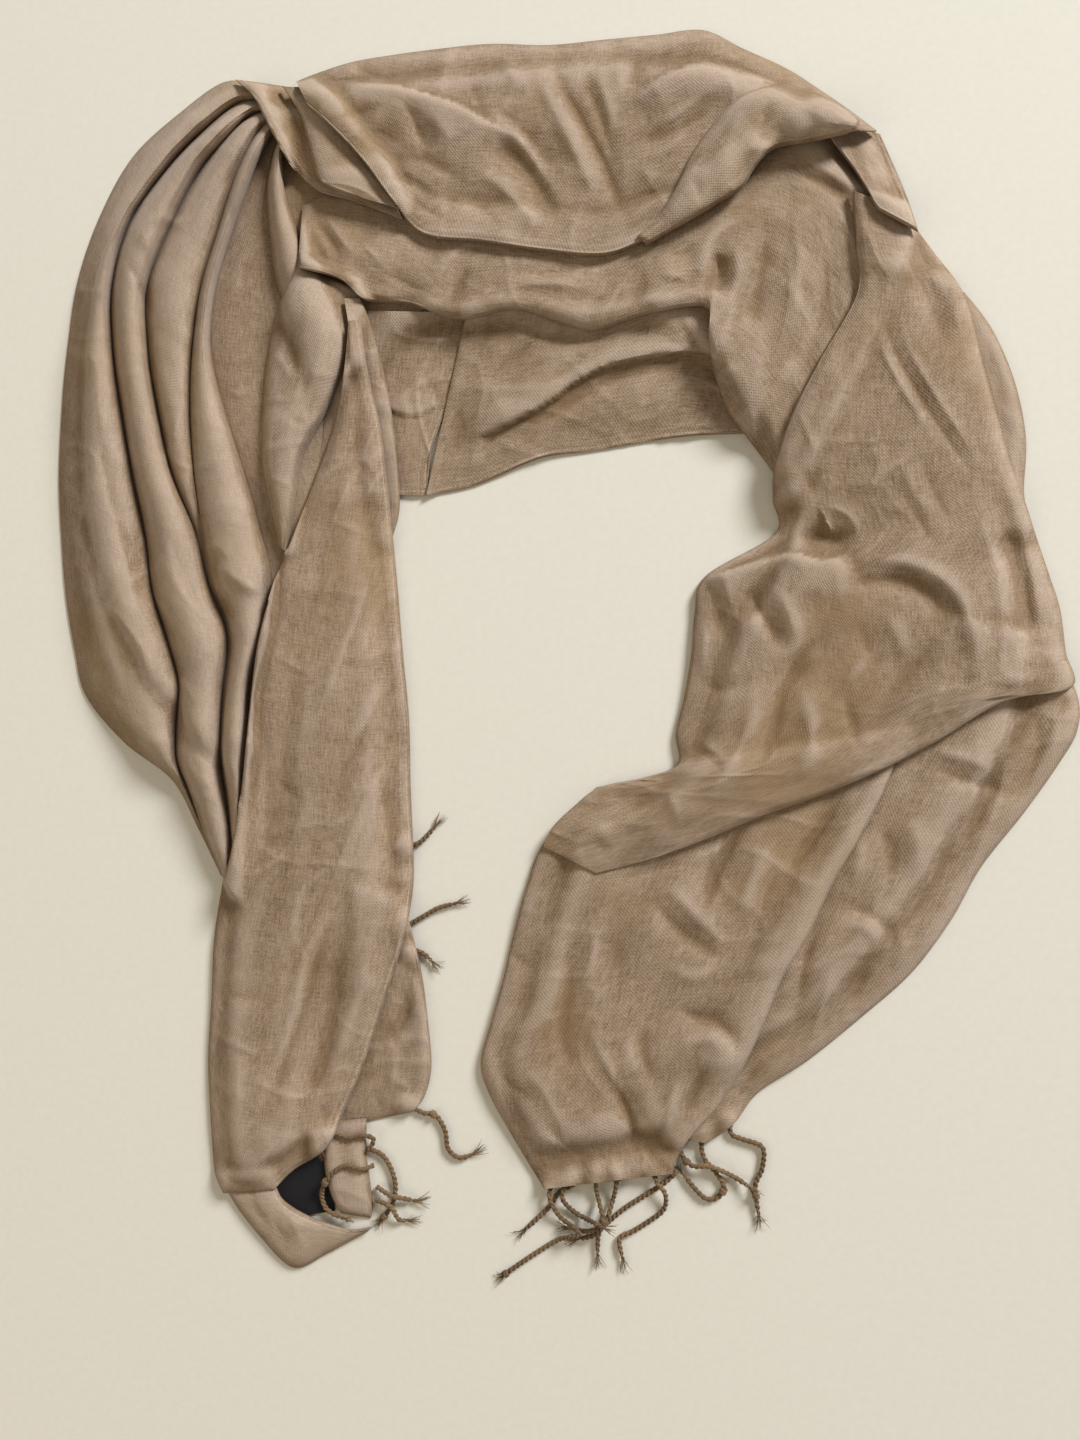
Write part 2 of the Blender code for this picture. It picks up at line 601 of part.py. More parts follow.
def facet_samples(points, faces):
    """Points all over each triangle, no further apart than half a cell, with their weights."""
    corners = points[faces]
    longest = np.linalg.norm(corners - np.roll(corners, 1, axis=1), axis=2).max()
    count = int(math.ceil(longest / (CELL * 0.5)))
    first, second = np.meshgrid(np.arange(count + 1), np.arange(count + 1), indexing="ij")
    inside = first + second <= count
    first, second = first[inside] / count, second[inside] / count
    weights = np.stack([first, second, 1 - first - second], axis=1)
    return np.einsum("sw,fwc->fsc", weights, corners), weights


def grid_faces(rows, columns):
    index = np.arange(rows * columns).reshape(rows, columns)
    a, b = index[:-1, :-1].ravel(), index[:-1, 1:].ravel()
    c, d = index[1:, 1:].ravel(), index[1:, :-1].ravel()
    return np.concatenate([np.stack([a, b, c], axis=1), np.stack([a, c, d], axis=1)])


def shell_faces(rows, columns):
    """A closed skin over a lower grid and an upper one, whose points follow the lower one's."""
    lower = grid_faces(rows, columns)
    upper = lower[:, ::-1] + rows * columns
    index = np.arange(rows * columns).reshape(rows, columns)
    ring = np.concatenate([index[0, :-1], index[:-1, -1], index[-1, :0:-1], index[:0:-1, 0]])
    after = np.roll(ring, -1)
    above = rows * columns
    rim = np.concatenate(
        [np.stack([ring, after + above, after], axis=1), np.stack([ring, ring + above, after + above], axis=1)]
    )
    return np.concatenate([lower, upper, rim])


def solid(name, points, faces, colour):
    """A mesh object of the points, which are in millimetres of the plan."""
    corners = points[faces]
    volume = np.einsum("fi,fi->f", corners[:, 0], np.cross(corners[:, 1], corners[:, 2])).sum()
    if volume < 0:
        faces = faces[:, ::-1]
    placed = (points - np.array([*ORIGIN, 0])) * MM
    mesh = bpy.data.meshes.new(name)
    mesh.from_pydata(placed.tolist(), [], faces.tolist())
    mesh.materials.append(colour)
    mesh.shade_smooth()
    mesh.set_sharp_from_angle(angle=math.radians(SHARP_ANGLE))
    made = bpy.data.objects.new(name, mesh)
    bpy.context.scene.collection.objects.link(made)
    return made


def lay(heap, name, seen_x, seen_y, rise, colour):
    """A wall of cloth over the grid of seen points, rise mm above what it is draped on."""
    x, y = seen_x, seen_y
    for _ in range(3):
        z = heap.draped(x, y)
        z = np.where(z > LAID_ON, z + GAP, z) + rise
        x, y = drawn_in(seen_x, seen_y, z)
    rows, columns = x.shape
    lower = np.stack([x.ravel(), y.ravel(), np.maximum(z, 0).ravel()], axis=1)
    faces = grid_faces(rows, columns)
    lower = heap.clear_of(lower, faces)
    upper = lower + [0, 0, 1] * wall_height(lower.reshape(rows, columns, 3)).reshape(-1, 1)
    heap.add(upper, faces)
    heap.soften()
    return solid(name, np.concatenate([lower, upper]), shell_faces(rows, columns), colour)


def wall_height(grid):
    """The wall's height at each point, so that it stays WALL thick where it is steep."""
    along = np.gradient(grid, axis=0)
    across = np.gradient(grid, axis=1)
    normal = np.cross(across, along)
    steep = np.linalg.norm(normal, axis=2) / np.maximum(np.abs(normal[..., 2]), 1e-6)
    return WALL * np.clip(steep, 1, STEEPEST)


def across_places(width, step, edge):
    """Shares of the width, with a close row by each edge for its roll."""
    inner = np.linspace(edge, width - edge, max(2, round((width - 2 * edge) / step)) + 1)
    return np.concatenate([[0, edge * EDGE_ROW], inner, [width - edge * EDGE_ROW, width]]) / width


def stretch(heap, name, table, colour, creases=(), steps=(), start_roll=0.0, end_roll=0.0):
    """One stretch of cloth through its table of sections."""
    rows = np.array(table, float)
    middle = (rows[:, 0:2] + rows[:, 2:4]) / 2
    places = even_places(middle, ROW_STEP)
    at = blend(rows, places)
    widths = np.hypot(at[:, 2] - at[:, 0], at[:, 3] - at[:, 1])
    u = across_places(max(widths.max(), LEAST_WIDTH), COLUMN_STEP, EDGE)[None, :]
    x = at[:, 0:1] * (1 - u) + at[:, 2:3] * u
    y = at[:, 1:2] * (1 - u) + at[:, 3:4] * u
    left, mid, right = at[:, 4:5], at[:, 5:6], at[:, 6:7]
    rise = left * (1 - u) * (1 - 2 * u) + mid * 4 * u * (1 - u) + right * u * (2 * u - 1)
    rise = rise + relief(x, y, creases, steps)
    rise = rise * rounded(u * widths[:, None], ROLL * left)
    rise = rise * rounded((1 - u) * widths[:, None], ROLL * right)
    run = np.concatenate([[0], np.cumsum(np.hypot(*np.diff(np.stack([x, y]).mean(axis=2), axis=1)))])
    for distance, roll in ((run, start_roll), (run[-1] - run, end_roll)):
        if roll:
            rise = rise * rounded(distance, roll)[:, None]
    return lay(heap, name, x, y, np.maximum(rise, 0), colour)


def gathers(heap, name, colour):
    """The pleated wall at the left: folds side by side, which fan out from where the cloth is bunched."""
    rows = np.array(GATHERS, float)
    places = even_places((rows[:, 0:2] + rows[:, 2:4]) / 2, GATHER_ROW_STEP)
    at = blend(rows, places)
    count = len(places)
    bounds = np.concatenate([np.zeros((count, 1)), at[:, 4:9], np.ones((count, 1))], axis=1)
    shares, rise = [], []
    places_within = {0: OUTER_FOLD_PLACES, 4: FLAT_FOLD_PLACES}
    for k, fold in enumerate(GATHER_FOLDS):
        grows = np.clip((places - fold.first_row) / (fold.full_row - fold.first_row), 0, 1)
        fades = np.clip((fold.last_row - places) / (fold.last_row - fold.fading_row), 0, 1)
        crest = fold.crest * (BUNCHED + (1 - BUNCHED) * grows) * fades
        floor = GATHER_FOLDS[k - 1].floor if k else 0.0
        for s in places_within.get(k, FOLD_PLACES):
            shares.append(bounds[:, k] * (1 - s) + bounds[:, k + 1] * s)
            base = floor * (1 - s) + fold.floor * s
            rise.append(base + np.maximum(crest - base, 0) * math.sin(math.pi * s**fold.lean) ** FOLD_FULLNESS)
    shares.append(bounds[:, -1])
    rise.append(np.zeros(count))
    u = np.stack(shares, axis=1)
    x = at[:, 0:1] * (1 - u) + at[:, 2:3] * u
    y = at[:, 1:2] * (1 - u) + at[:, 3:4] * u
    rise = np.stack(rise, axis=1)
    rise = rise + relief(x, y, GATHER_CREASES, ())
    return lay(heap, name, x, y, np.maximum(rise, 0), colour)


def hidden_layers(heap, colour):
    """The layers under the ones that show: one low solid, flat below, rounded and stepped like stacked edges."""
    rows = np.array(HIDDEN, float)
    places = even_places((rows[:, 0:2] + rows[:, 2:4]) / 2, HIDDEN_STEP)
    at = blend(rows, places)
    xs, ys, zs = [], [], []
    for row in at:
        left, right = row[0:2], row[2:4]
        width = np.linalg.norm(right - left)
        across = [ledge.inset / width for ledge in HIDDEN_EDGE]
        levels = [ledge.level for ledge in HIDDEN_EDGE]
        share = np.array(across + [0.5] + [1 - a for a in reversed(across)])
        level = np.array(levels + [1.0] + levels[::-1])
        xs.append(left[0] * (1 - share) + right[0] * share)
        ys.append(left[1] * (1 - share) + right[1] * share)
        zs.append(level * HIDDEN_HEIGHT)
    x, y, z = np.array(xs), np.array(ys), np.array(zs)
    ends = np.ones(len(at))
    ends[[0, -1]] = HIDDEN_END
    z = z * ends[:, None]
    rows_count, columns = x.shape
    lower = np.stack([x.ravel(), y.ravel(), np.zeros(x.size)], axis=1)
    upper = np.stack([x.ravel(), y.ravel(), z.ravel()], axis=1)
    heap.add(upper, grid_faces(rows_count, columns))
    heap.soften()
    return solid(
        "hidden_layers", np.concatenate([lower, upper]), shell_faces(rows_count, columns), colour
    )


def tube(path, across, sides):
    """The points and faces of a closed bar along the path."""
    path = np.asarray(path, float)
    direction = np.gradient(path, axis=0)
    direction /= np.linalg.norm(direction, axis=1, keepdims=True)
    aside = np.cross(direction, [0, 0, 1])
    aside /= np.linalg.norm(aside, axis=1, keepdims=True)
    up = np.cross(aside, direction)
    turns = (np.arange(sides) + 0.5) * 2 * math.pi / sides
    ring = aside[:, None] * np.cos(turns)[None, :, None] + up[:, None] * np.sin(turns)[None, :, None]
    points = (path[:, None] + ring * across / 2).reshape(-1, 3)
    faces = []
    for k in range(len(path) - 1):
        for s in range(sides):
            a, b = k * sides + s, k * sides + (s + 1) % sides
            faces += [(a, b, b + sides), (a, b + sides, a + sides)]
    last = (len(path) - 1) * sides
    for s in range(1, sides - 1):
        faces += [(0, s + 1, s), (last, last + s, last + s + 1)]
    return points, np.array(faces)


def strand_path(heap, route):
    """A strand's middle line: along its route, over whatever lies there, and down to the surface at its tip."""
    route = np.asarray(route, float)
    places = even_places(route, STRAND_STEP)
    seen = blend(route, places)
    x, y = seen[:, 0], seen[:, 1]
    z = np.zeros(len(x))
    for _ in range(2):
        reach = np.linspace(-STRAND_REACH, STRAND_REACH, 5)
        near = [heap.top[heap.cells(x + dx, y + dy)] for dx in reach for dy in reach]
        z = np.max(near, axis=0)
        z = np.maximum(z, np.maximum(np.append(z[1:], 0), np.append(0, z[:-1])))
        x, y = drawn_in(seen[:, 0], seen[:, 1], z)
    return np.stack([x, y, z + STRAND / 2 + STRAND_CLEARANCE], axis=1)


def seated(path, spine):
    """The path with its first point moved to the nearest one of the strip's middle line."""
    fine = blend(spine, np.linspace(0, len(spine) - 1, FINE * len(spine)))
    apart = np.hypot(fine[:, 0] - path[0, 0], fine[:, 1] - path[0, 1])
    path[0] = fine[apart.argmin()] + [0, 0, ROOT_LIFT]
    return path


def fringe(heap, name, table, colour):
    """A fringe: a narrow strip for the roots, with the strands' roots in it."""
    spine = strand_path(heap, table.strip)
    bars = [tube(spine, STRIP, 4)]
    for route in table.strands:
        path = seated(strand_path(heap, route), spine)
        bars.append(tube(path, STRAND, STRAND_SIDES))
        heap.add(*bars[-1])
    heap.add(*bars[0])
    heap.soften()
    made = solid(name, *bars[0], colour)
    for k, (points, faces) in enumerate(bars[1:]):
        strand = solid(f"{name}_strand_{k}", points, faces, colour)
        strand.hide_render = True
        strand.display_type = "WIRE"
        joint = made.modifiers.new(f"root_{k}", "BOOLEAN")
        joint.operation = "UNION"
        joint.object = strand
    return made


def main():
    clear_scene()
    cloth = material("taupe_cloth", CLOTH)
    twisted = material("twisted_yarn", FRINGE_COLOUR, 0.9)
    black = material("label_black", LABEL_COLOUR, 0.6)
    heap = Heap()
    hidden_layers(heap, cloth)
    for name, table in FRINGES.items():
        if name != FRINGE_ON_THE_TONGUE:
            fringe(heap, name, table, twisted)
    stretch(heap, "lower_band_back", LOWER_BAND_BACK, cloth)
    stretch(heap, "lower_band", LOWER_BAND, cloth, steps=LOWER_BAND_STEPS)
    gathers(heap, "left_gathers", cloth)
    stretch(heap, "inner_left_fold", INNER_LEFT_FOLD, cloth, start_roll=4)
    stretch(heap, "front_panel_back", FRONT_PANEL_BACK, cloth)
    stretch(heap, "left_under_end", LEFT_UNDER_END, cloth, creases=LEFT_UNDER_CREASES, end_roll=4)
    stretch(heap, "label", LABEL, black)
    stretch(heap, "end_tongue", END_TONGUE, cloth, start_roll=6, end_roll=6)
    fringe(heap, FRINGE_ON_THE_TONGUE, FRINGES[FRINGE_ON_THE_TONGUE], twisted)
    stretch(heap, "turned_hem", TURNED_HEM, cloth)
    stretch(heap, "front_panel", FRONT_PANEL, cloth, creases=FRONT_PANEL_CREASES, end_roll=6)
    stretch(
        heap, "middle_band", MIDDLE_BAND, cloth, creases=MIDDLE_BAND_CREASES, start_roll=7
    )
    stretch(heap, "right_outer_fold", RIGHT_OUTER_FOLD, cloth)
    stretch(heap, "right_back", RIGHT_BACK, cloth, creases=RIGHT_BACK_CREASES)
    stretch(heap, "right_lower", RIGHT_LOWER, cloth, creases=RIGHT_LOWER_CREASES)
    stretch(
        heap, "right_front", RIGHT_FRONT, cloth, creases=RIGHT_FRONT_CREASES, steps=RIGHT_FRONT_STEPS
    )
    stretch(heap, "collar_right_end", COLLAR_RIGHT_END, cloth, end_roll=5)
    stretch(heap, "collar_left_end", COLLAR_LEFT_END, cloth, start_roll=6)
    stretch(heap, "collar_left_layer", COLLAR_LEFT_LAYER, cloth)
    stretch(heap, "collar", COLLAR, cloth, creases=COLLAR_CREASES, steps=COLLAR_STEPS)
    stretch(heap, "collar_flap", COLLAR_FLAP, cloth, start_roll=4, end_roll=4)


main()
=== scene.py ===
"""The fringed scarf as it looks: its stretches of cloth, twisted fringes and bare label, over the frame.

Places in the tables are millimetres on the surface, where the sight line from EYE meets it; a point that
lies higher is drawn in along that line. The stretches are laid in order, each on the heap below it.
"""

import math
from collections import namedtuple

import bpy
import numpy as np
from mathutils import Matrix, Vector


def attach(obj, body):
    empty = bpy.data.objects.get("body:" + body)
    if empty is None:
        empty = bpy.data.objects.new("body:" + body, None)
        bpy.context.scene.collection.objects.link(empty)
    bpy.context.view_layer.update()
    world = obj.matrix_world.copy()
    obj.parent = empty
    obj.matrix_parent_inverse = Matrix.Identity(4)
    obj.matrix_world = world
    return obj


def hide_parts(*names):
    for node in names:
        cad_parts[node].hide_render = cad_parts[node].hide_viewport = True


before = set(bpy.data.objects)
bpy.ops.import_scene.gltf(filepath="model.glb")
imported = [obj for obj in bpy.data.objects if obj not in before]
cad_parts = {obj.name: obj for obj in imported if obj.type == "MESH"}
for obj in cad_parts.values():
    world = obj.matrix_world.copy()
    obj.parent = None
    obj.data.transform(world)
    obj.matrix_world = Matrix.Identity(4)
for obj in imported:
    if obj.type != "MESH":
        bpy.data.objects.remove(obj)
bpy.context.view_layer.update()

MM = 0.001
EYE = (105.0, 0.0, 664.0)  # where the camera stands
ORIGIN = (-5.0, 34.0)  # where the frame's origin lies among the tables' places
SEED = 7

# The heap
CELL = 1.0  # a cell of the heap's grid
PLAN = (-340.0, -360.0, 340.0, 440.0)  # what the grid covers: low x, low y, high x, high y
SAMPLING = 0.6  # between a facet's samples, in cells
GAP = 0.35  # kept between stretches that lie on each other
LAID_ON = 0.2  # a heap lower than this is bare surface
DRAPE_REACH = 3.0  # how far cloth stands out from the edge of what it lies on
DRAPE_SOFTNESS = 5.0  # how gently it comes down from there

# The cloth
CLOTH = 0.8  # the cloth's thickness
STEEPEST = 2.4  # a steep wall is at most so many times CLOTH high
STEP = 1.9  # between the points of the cloth's mesh
FEWEST_COLUMNS = 8  # across a stretch
ROW_SAMPLES = 40  # for each of a curve's points, to measure along it
EDGE_FINENESS = 0.35  # how much closer the points lie at a stretch's two edges
ROLL = 1.5  # how far an edge's roll reaches in, for each millimetre that the edge rises
FAR = 1000.0  # the distance to a selvedge that isn't there
WRINKLE = 0.9  # the height of the small unevenness
LABEL_WRINKLE = 0.1
GATHER_WRINKLE = 0.95
WRINKLED_FROM = 6.0  # gathers lower than this are smoother
SHARP_EDGE = math.radians(60)

# Creases
TAPER = 0.42  # a crease fades out over at least this share of its length, from each end
SKIRT = 1.12  # so many half_widths out, a crease is down to 37 % of its height, but for LEAN
CREASE_HEIGHT = 0.95  # the share of its table's height that a wide crease gets
LEAN = 0.3  # by this share a crease's slope is wider on its left, and narrower on its right
PEAK = 1.4  # how sharp a crease's middle is: 2 is round
FULL_HEIGHT_WIDTH = 7.0  # a crease whose half_width is below this is lower too
LEAST_HEIGHT = 0.6  # the share of a wide one's height that the narrowest gets
CREASE_SAMPLES = 4  # for each of a crease's points, along its curve

# The gathers
FIRST_CREST = 0.45  # the share of its height that a fold has where it starts
FOLD_ROUNDNESS = 0.6  # how full a fold is: 1 is a plain wave, and less is fuller
FOLD_FINENESS = 1.15  # how much closer the points lie across a fold
FOLD_COLUMNS = 12  # the fewest across a fold

# The hidden layers
HIDDEN_HEIGHT = 6.0
HIDDEN_STEP = 6.0  # between their rows
HIDDEN_END = 0.3  # the share of their height at each end
HIDDEN_MIDDLE = [0.35, 0.5, 0.65]  # where they have points between their edges, as shares of the way across
HIDDEN_EDGE = [  # how high they stand, as a share, at so many millimetres from their edge
    (0.0, 0.18), (0.5, 0.30), (1.5, 0.40), (3.0, 0.42), (3.4, 0.62),
    (4.5, 0.72), (7.0, 0.74), (7.4, 0.88), (9.0, 0.97), (14.0, 1.0),
]

# The fringe
PLY = 0.92  # a ply's radius
PLY_ORBIT = 0.72  # how far a ply winds from the strand's middle
STRAND = PLY + PLY_ORBIT  # a strand's radius
STRAND_STEP = 1.0  # between the points along a strand
STRAND_GAP = 0.1  # kept between a strand and what it lies on
STRAND_SMOOTHING = 4  # a strand's height is smoothed over so many points each way
TWIST = 6.4  # along the strand for one turn
TIP = 5.0  # over this length the plies grow thinner
TIP_RADIUS = 0.55  # down to this share
PLY_SIDES = 6
FIBRES = 16  # at each tip
FIBRE = 0.18  # a fibre's radius, about midway
FIBRE_SIDES = 3
FIBRE_POINTS = 6
FIBRE_LENGTHS = (4, 11)
FIBRE_LIFTS = (-0.25, 0.5)  # how steeply the lowest and the highest of them leave the tip
FIBRE_SPREAD = 0.45  # how widely they fan out to the sides
FIBRE_BEND = 0.5  # how strongly they bend to the sides
FIBRE_ROOT = 1.5  # how far inside the tip the fibres start
KNOT = 1.5  # how far a knot's turns lie from the strand's middle
KNOT_REACH = 1.3  # how far along the strand they lie from the knot's middle
KNOT_TURNS = 2
KNOT_POINTS = 25
UPRIGHT = [0.03, 0.02, 1]  # just off straight up, so that no strand runs along it

# A row across a stretch: its two edges, and how far it rises at each of them and midway.
Section = namedtuple("Section", "left_x left_y right_x right_y left_rise mid_rise right_rise")
# A ridge along its points, or a trough where its height is below 0; it fades over fade at each end.
Crease = namedtuple("Crease", "height half_width fade points")
# The edge of a layer that lies on the left of its points: it rises over roll and sinks over reach.
Step = namedtuple("Step", "height roll reach fade points")
# A row across the gathers: its two edges, and each valley as a share of the way between them.
Gather = namedtuple("Gather", "outer_x outer_y inner_x inner_y valley_1 valley_2 valley_3 valley_4 valley_5")
# A fold of the gathers: its heights at the crest and in the next valley, and the rows it comes and goes at.
# A lean above 1 moves its crest inward.
Fold = namedtuple("Fold", "crest floor lean first_row full_row fading_row last_row")
# A row across the hidden layers: its two edges.
Hidden = namedtuple("Hidden", "outer_x outer_y inner_x inner_y")
# A laid stretch: its object, its flat width and length, and its flat area.
Cloth = namedtuple("Cloth", "made flat area")
# The strands of one fringe, and its knots, each as (strand, share of the way to its tip).
Fringe = namedtuple("Fringe", "strands knots")
Lamp = namedtuple("Lamp", "name place aim size watts colour")

HIDDEN = [
    Hidden(-186, -282, -140, -246),
    Hidden(-194, -225, -116, -205),
    Hidden(-190, -150, -98, -148),
    Hidden(-184, -90, -95, -90),
    Hidden(-190, -30, -97, -20),
    Hidden(-240, 30, -100, 50),
    Hidden(-276, 110, -108, 120),
    Hidden(-284, 190, -112, 185),
    Hidden(-274, 265, -102, 224),
    Hidden(-240, 332, -78, 240),
    Hidden(-186, 366, -45, 246),
    Hidden(-112, 380, -8, 240),
    Hidden(-30, 384, 24, 230),
    Hidden(50, 382, 70, 234),
    Hidden(118, 362, 112, 206),
    Hidden(170, 322, 138, 160),
    Hidden(212, 262, 152, 118),
    Hidden(240, 190, 140, 78),
    Hidden(256, 110, 116, 40),
    Hidden(268, 50, 106, 2),
    Hidden(262, -8, 84, -48),
    Hidden(232, -60, 36, -70),
    Hidden(200, -112, 16, -108),
    Hidden(158, -160, 4, -158),
    Hidden(112, -192, -16, -205),
    Hidden(72, -236, 2, -252),
]

LOWER_BAND_BACK = [
    Section(-112, 252, -36, 246, 0, 1.5, 0),
    Section(-110, 216, -46, 216, 0, 1.5, 0),
    Section(-107, 187, -58, 188, 0, 1.5, 0),
    Section(-102, 160, -67, 161, 0, 1.0, 0),
    Section(-98, 138, -69, 137, 0, 0.5, 0),
]
LOWER_BAND_BACK_CREASES = [
    Crease(-1, 2.4, 6, [(-95, 211), (-84, 205), (-73, 201), (-60, 203)]),
    Crease(-1.5, 4, 10, [(-78, 246), (-84, 232), (-80, 218)]),
]
LOWER_BAND_BACK_STEPS = [
    Step(1.6, 3, 16, 3, [(-104, 194), (-92, 189), (-83, 186), (-74, 186), (-62, 191)]),
]
LOWER_BAND = [
    Section(-45, 246, -70, 137, 1, 1.0, 0.5),
    Section(-20, 250, -40, 142, 1, 3.0, 1.0),
    Section(12, 243, 0, 157, 1, 5.0, 0.5),
    Section(40, 240, 30, 160, 1, 5.0, 0.5),
    Section(65, 244, 60, 164, 1, 5.0, 0.5),
    Section(98, 246, 90, 167, 0, 3.0, 0.5),
    Section(130, 222, 124, 167, 0, 1.0, 0.5),
]
LOWER_BAND_CREASES = [
    Crease(-2.5, 5, 12, [(-30, 164), (-14, 170), (2, 180), (20, 190), (42, 201), (75, 206), (104, 204)]),
    Crease(2.2, 4, 12, [(-24, 158), (-13, 172), (-3, 185)]),
    Crease(-2, 5, 14, [(4, 234), (-10, 222), (-28, 212), (-44, 208)]),
    Crease(-2, 4, 12, [(46, 230), (24, 215), (6, 204), (-10, 200)]),
    Crease(1.8, 4, 12, [(60, 238), (42, 228), (22, 223), (2, 228)]),
    Crease(1.2, 2.2, 10, [(-60, 203), (-30, 200), (0, 199), (12, 200)]),
    Crease(-3.5, 4, 6, [(80, 242), (86, 229), (92, 220), (102, 214)]),
    Crease(2, 4, 6, [(94, 236), (98, 222), (106, 212)]),
    Crease(1.6, 3, 8, [(-34, 178), (-40, 160), (-44, 146)]),
    Crease(-1.5, 4, 8, [(-46, 190), (-50, 172), (-56, 156)]),
]
LOWER_BAND_STEPS = [
    Step(6, 5, 30, 26, [(-44, 168), (-18, 178), (8, 191), (19, 199), (43, 210), (80, 215), (112, 212)]),
]

GATHERS = [
    Gather(-180, 397, -160, 360, 0.30, 0.46, 0.62, 0.76, 0.88),
    Gather(-201, 400, -162, 352, 0.28, 0.46, 0.64, 0.78, 0.89),
    Gather(-229, 384, -162, 343, 0.26, 0.45, 0.66, 0.78, 0.89),
    Gather(-262, 358, -160, 326, 0.24, 0.43, 0.66, 0.76, 0.88),
    Gather(-285, 321, -152, 302, 0.16, 0.37, 0.61, 0.68, 0.86),
    Gather(-300, 281, -140, 270, 0.15, 0.30, 0.53, 0.59, 0.84),
    Gather(-307, 240, -124, 236, 0.17, 0.30, 0.47, 0.53, 0.86),
    Gather(-311, 200, -116, 198, 0.21, 0.335, 0.45, 0.56, 0.90),
    Gather(-313, 155, -124, 158, 0.27, 0.41, 0.49, 0.66, 0.92),
    Gather(-311, 112, -136, 126, 0.33, 0.52, 0.55, 0.76, 0.93),
    Gather(-308, 78, -144, 92, 0.36, 0.59, 0.61, 0.84, 0.94),
    Gather(-302, 44, -150, 58, 0.42, 0.68, 0.70, 0.84, 0.93),
    Gather(-294, 15, -156, 24, 0.46, 0.67, 0.69, 0.80, 0.92),
    Gather(-268, -14, -162, -12, 0.33, 0.61, 0.63, 0.78, 0.92),
    Gather(-235, -38, -168, -46, 0.12, 0.51, 0.54, 0.70, 0.90),
    Gather(-217, -70, -176, -80, 0.08, 0.50, 0.54, 0.66, 0.90),
    Gather(-203, -97, -184, -112, 0.08, 0.48, 0.54, 0.64, 0.90),
]
GATHER_FOLDS = [
    Fold(17, 1.0, 1.5, 0, 2, 13, 15),
    Fold(19, 1.5, 1.0, 0, 2, 14, 18),
    Fold(17, 6.0, 1.0, 0, 2, 7, 10),
    Fold(18, 0.5, 0.9, 0, 2, 13, 18),
    Fold(1.5, 0.5, 1.0, 0, 1, 15, 16),
    Fold(13, 0.0, 1.0, 0, 1, 5, 8),
]
GATHER_CREASES = [
    Crease(5, 8, 12, [(-209, 96), (-198, 92), (-186, 85), (-172, 77)]),
    Crease(-4, 5, 8, [(-206, 84), (-199, 72), (-194, 56)]),
    Crease(2.5, 4, 10, [(-214, 112), (-202, 107), (-196, 98)]),
    Crease(-2.5, 3, 20, [(-288, 302), (-297, 272), (-303, 242), (-304, 214)]),
    Crease(2.2, 5, 20, [(-280, 296), (-288, 266), (-292, 236), (-287, 205)]),
    Crease(-4.5, 10, 40, [(-288, 215), (-285, 180), (-278, 145), (-267, 110), (-258, 75), (-253, 42)]),
    Crease(-1.8, 2.6, 12, [(-279, 184), (-283, 168), (-290, 150)]),
    Crease(3.5, 9, 30, [(-298, 124), (-290, 80), (-278, 40), (-260, 2)]),
    Crease(-2, 4, 16, [(-306, 130), (-303, 96), (-294, 62), (-284, 36)]),
    Crease(-3.5, 3.2, 12, [(-268, 298), (-260, 280), (-252, 263), (-250, 248)]),
    Crease(2, 4, 10, [(-262, 318), (-252, 300), (-246, 282)]),
    Crease(1.5, 2.2, 6, [(-209, 180), (-203, 184), (-196, 178)]),
    Crease(1.5, 2.4, 6, [(-200, 205), (-190, 204), (-178, 209)]),
    Crease(-2, 3, 10, [(-196, 332), (-198, 304), (-206, 286)]),
    Crease(-1.6, 3, 10, [(-186, 300), (-188, 276), (-196, 256)]),
    Crease(1.8, 2.4, 8, [(-236, 36), (-227, 22), (-218, 6)]),
    Crease(-2, 4, 14, [(-240, 128), (-232, 100), (-222, 76), (-214, 52)]),
    Crease(-2, 4, 12, [(-236, 262), (-240, 236), (-236, 206)]),
    Crease(1.8, 4, 10, [(-228, 236), (-230, 214), (-226, 190)]),
    Crease(-1.8, 3, 10, [(-226, -4), (-222, -24), (-214, -44)]),
]

INNER_LEFT_FOLD = [
    Section(-151, 283, -110, 264, 3, 5, 3),
    Section(-165, 256, -113, 246, 5, 10, 5),
    Section(-172, 225, -120, 224, 6, 12, 6),
    Section(-175, 190, -134, 190, 6, 12, 6),
    Section(-175, 160, -149, 162, 6, 11, 5),
    Section(-170, 134, -155, 130, 5, 9, 4),
    Section(-164, 108, -159, 104, 2, 4, 2),
]
INNER_LEFT_CREASES = [
    Crease(-3, 3.2, 6, [(-138, 276), (-142, 267), (-146, 257)]),
    Crease(-2, 4, 14, [(-150, 262), (-154, 236), (-154, 206)]),
    Crease(1.6, 3, 8, [(-172, 232), (-162, 222), (-154, 206)]),
    Crease(2, 4, 16, [(-132, 254), (-138, 226), (-148, 194), (-158, 160)]),
    Crease(-2, 3, 12, [(-165, 196), (-168, 170), (-166, 142)]),
    Crease(-1.4, 2.4, 6, [(-160, 190), (-152, 184), (-146, 188)]),
]
FRONT_PANEL_BACK = [
    Section(-122, 260, -111, 259, 0, 2, 2),
    Section(-118, 236, -102, 232, 1, 4, 3),
    Section(-112, 205, -94, 200, 1, 4, 3),
    Section(-108, 170, -89, 165, 1, 4, 3),
    Section(-104, 135, -87, 130, 1, 3, 2),
    Section(-100, 110, -93, 108, 0, 1, 0),
]
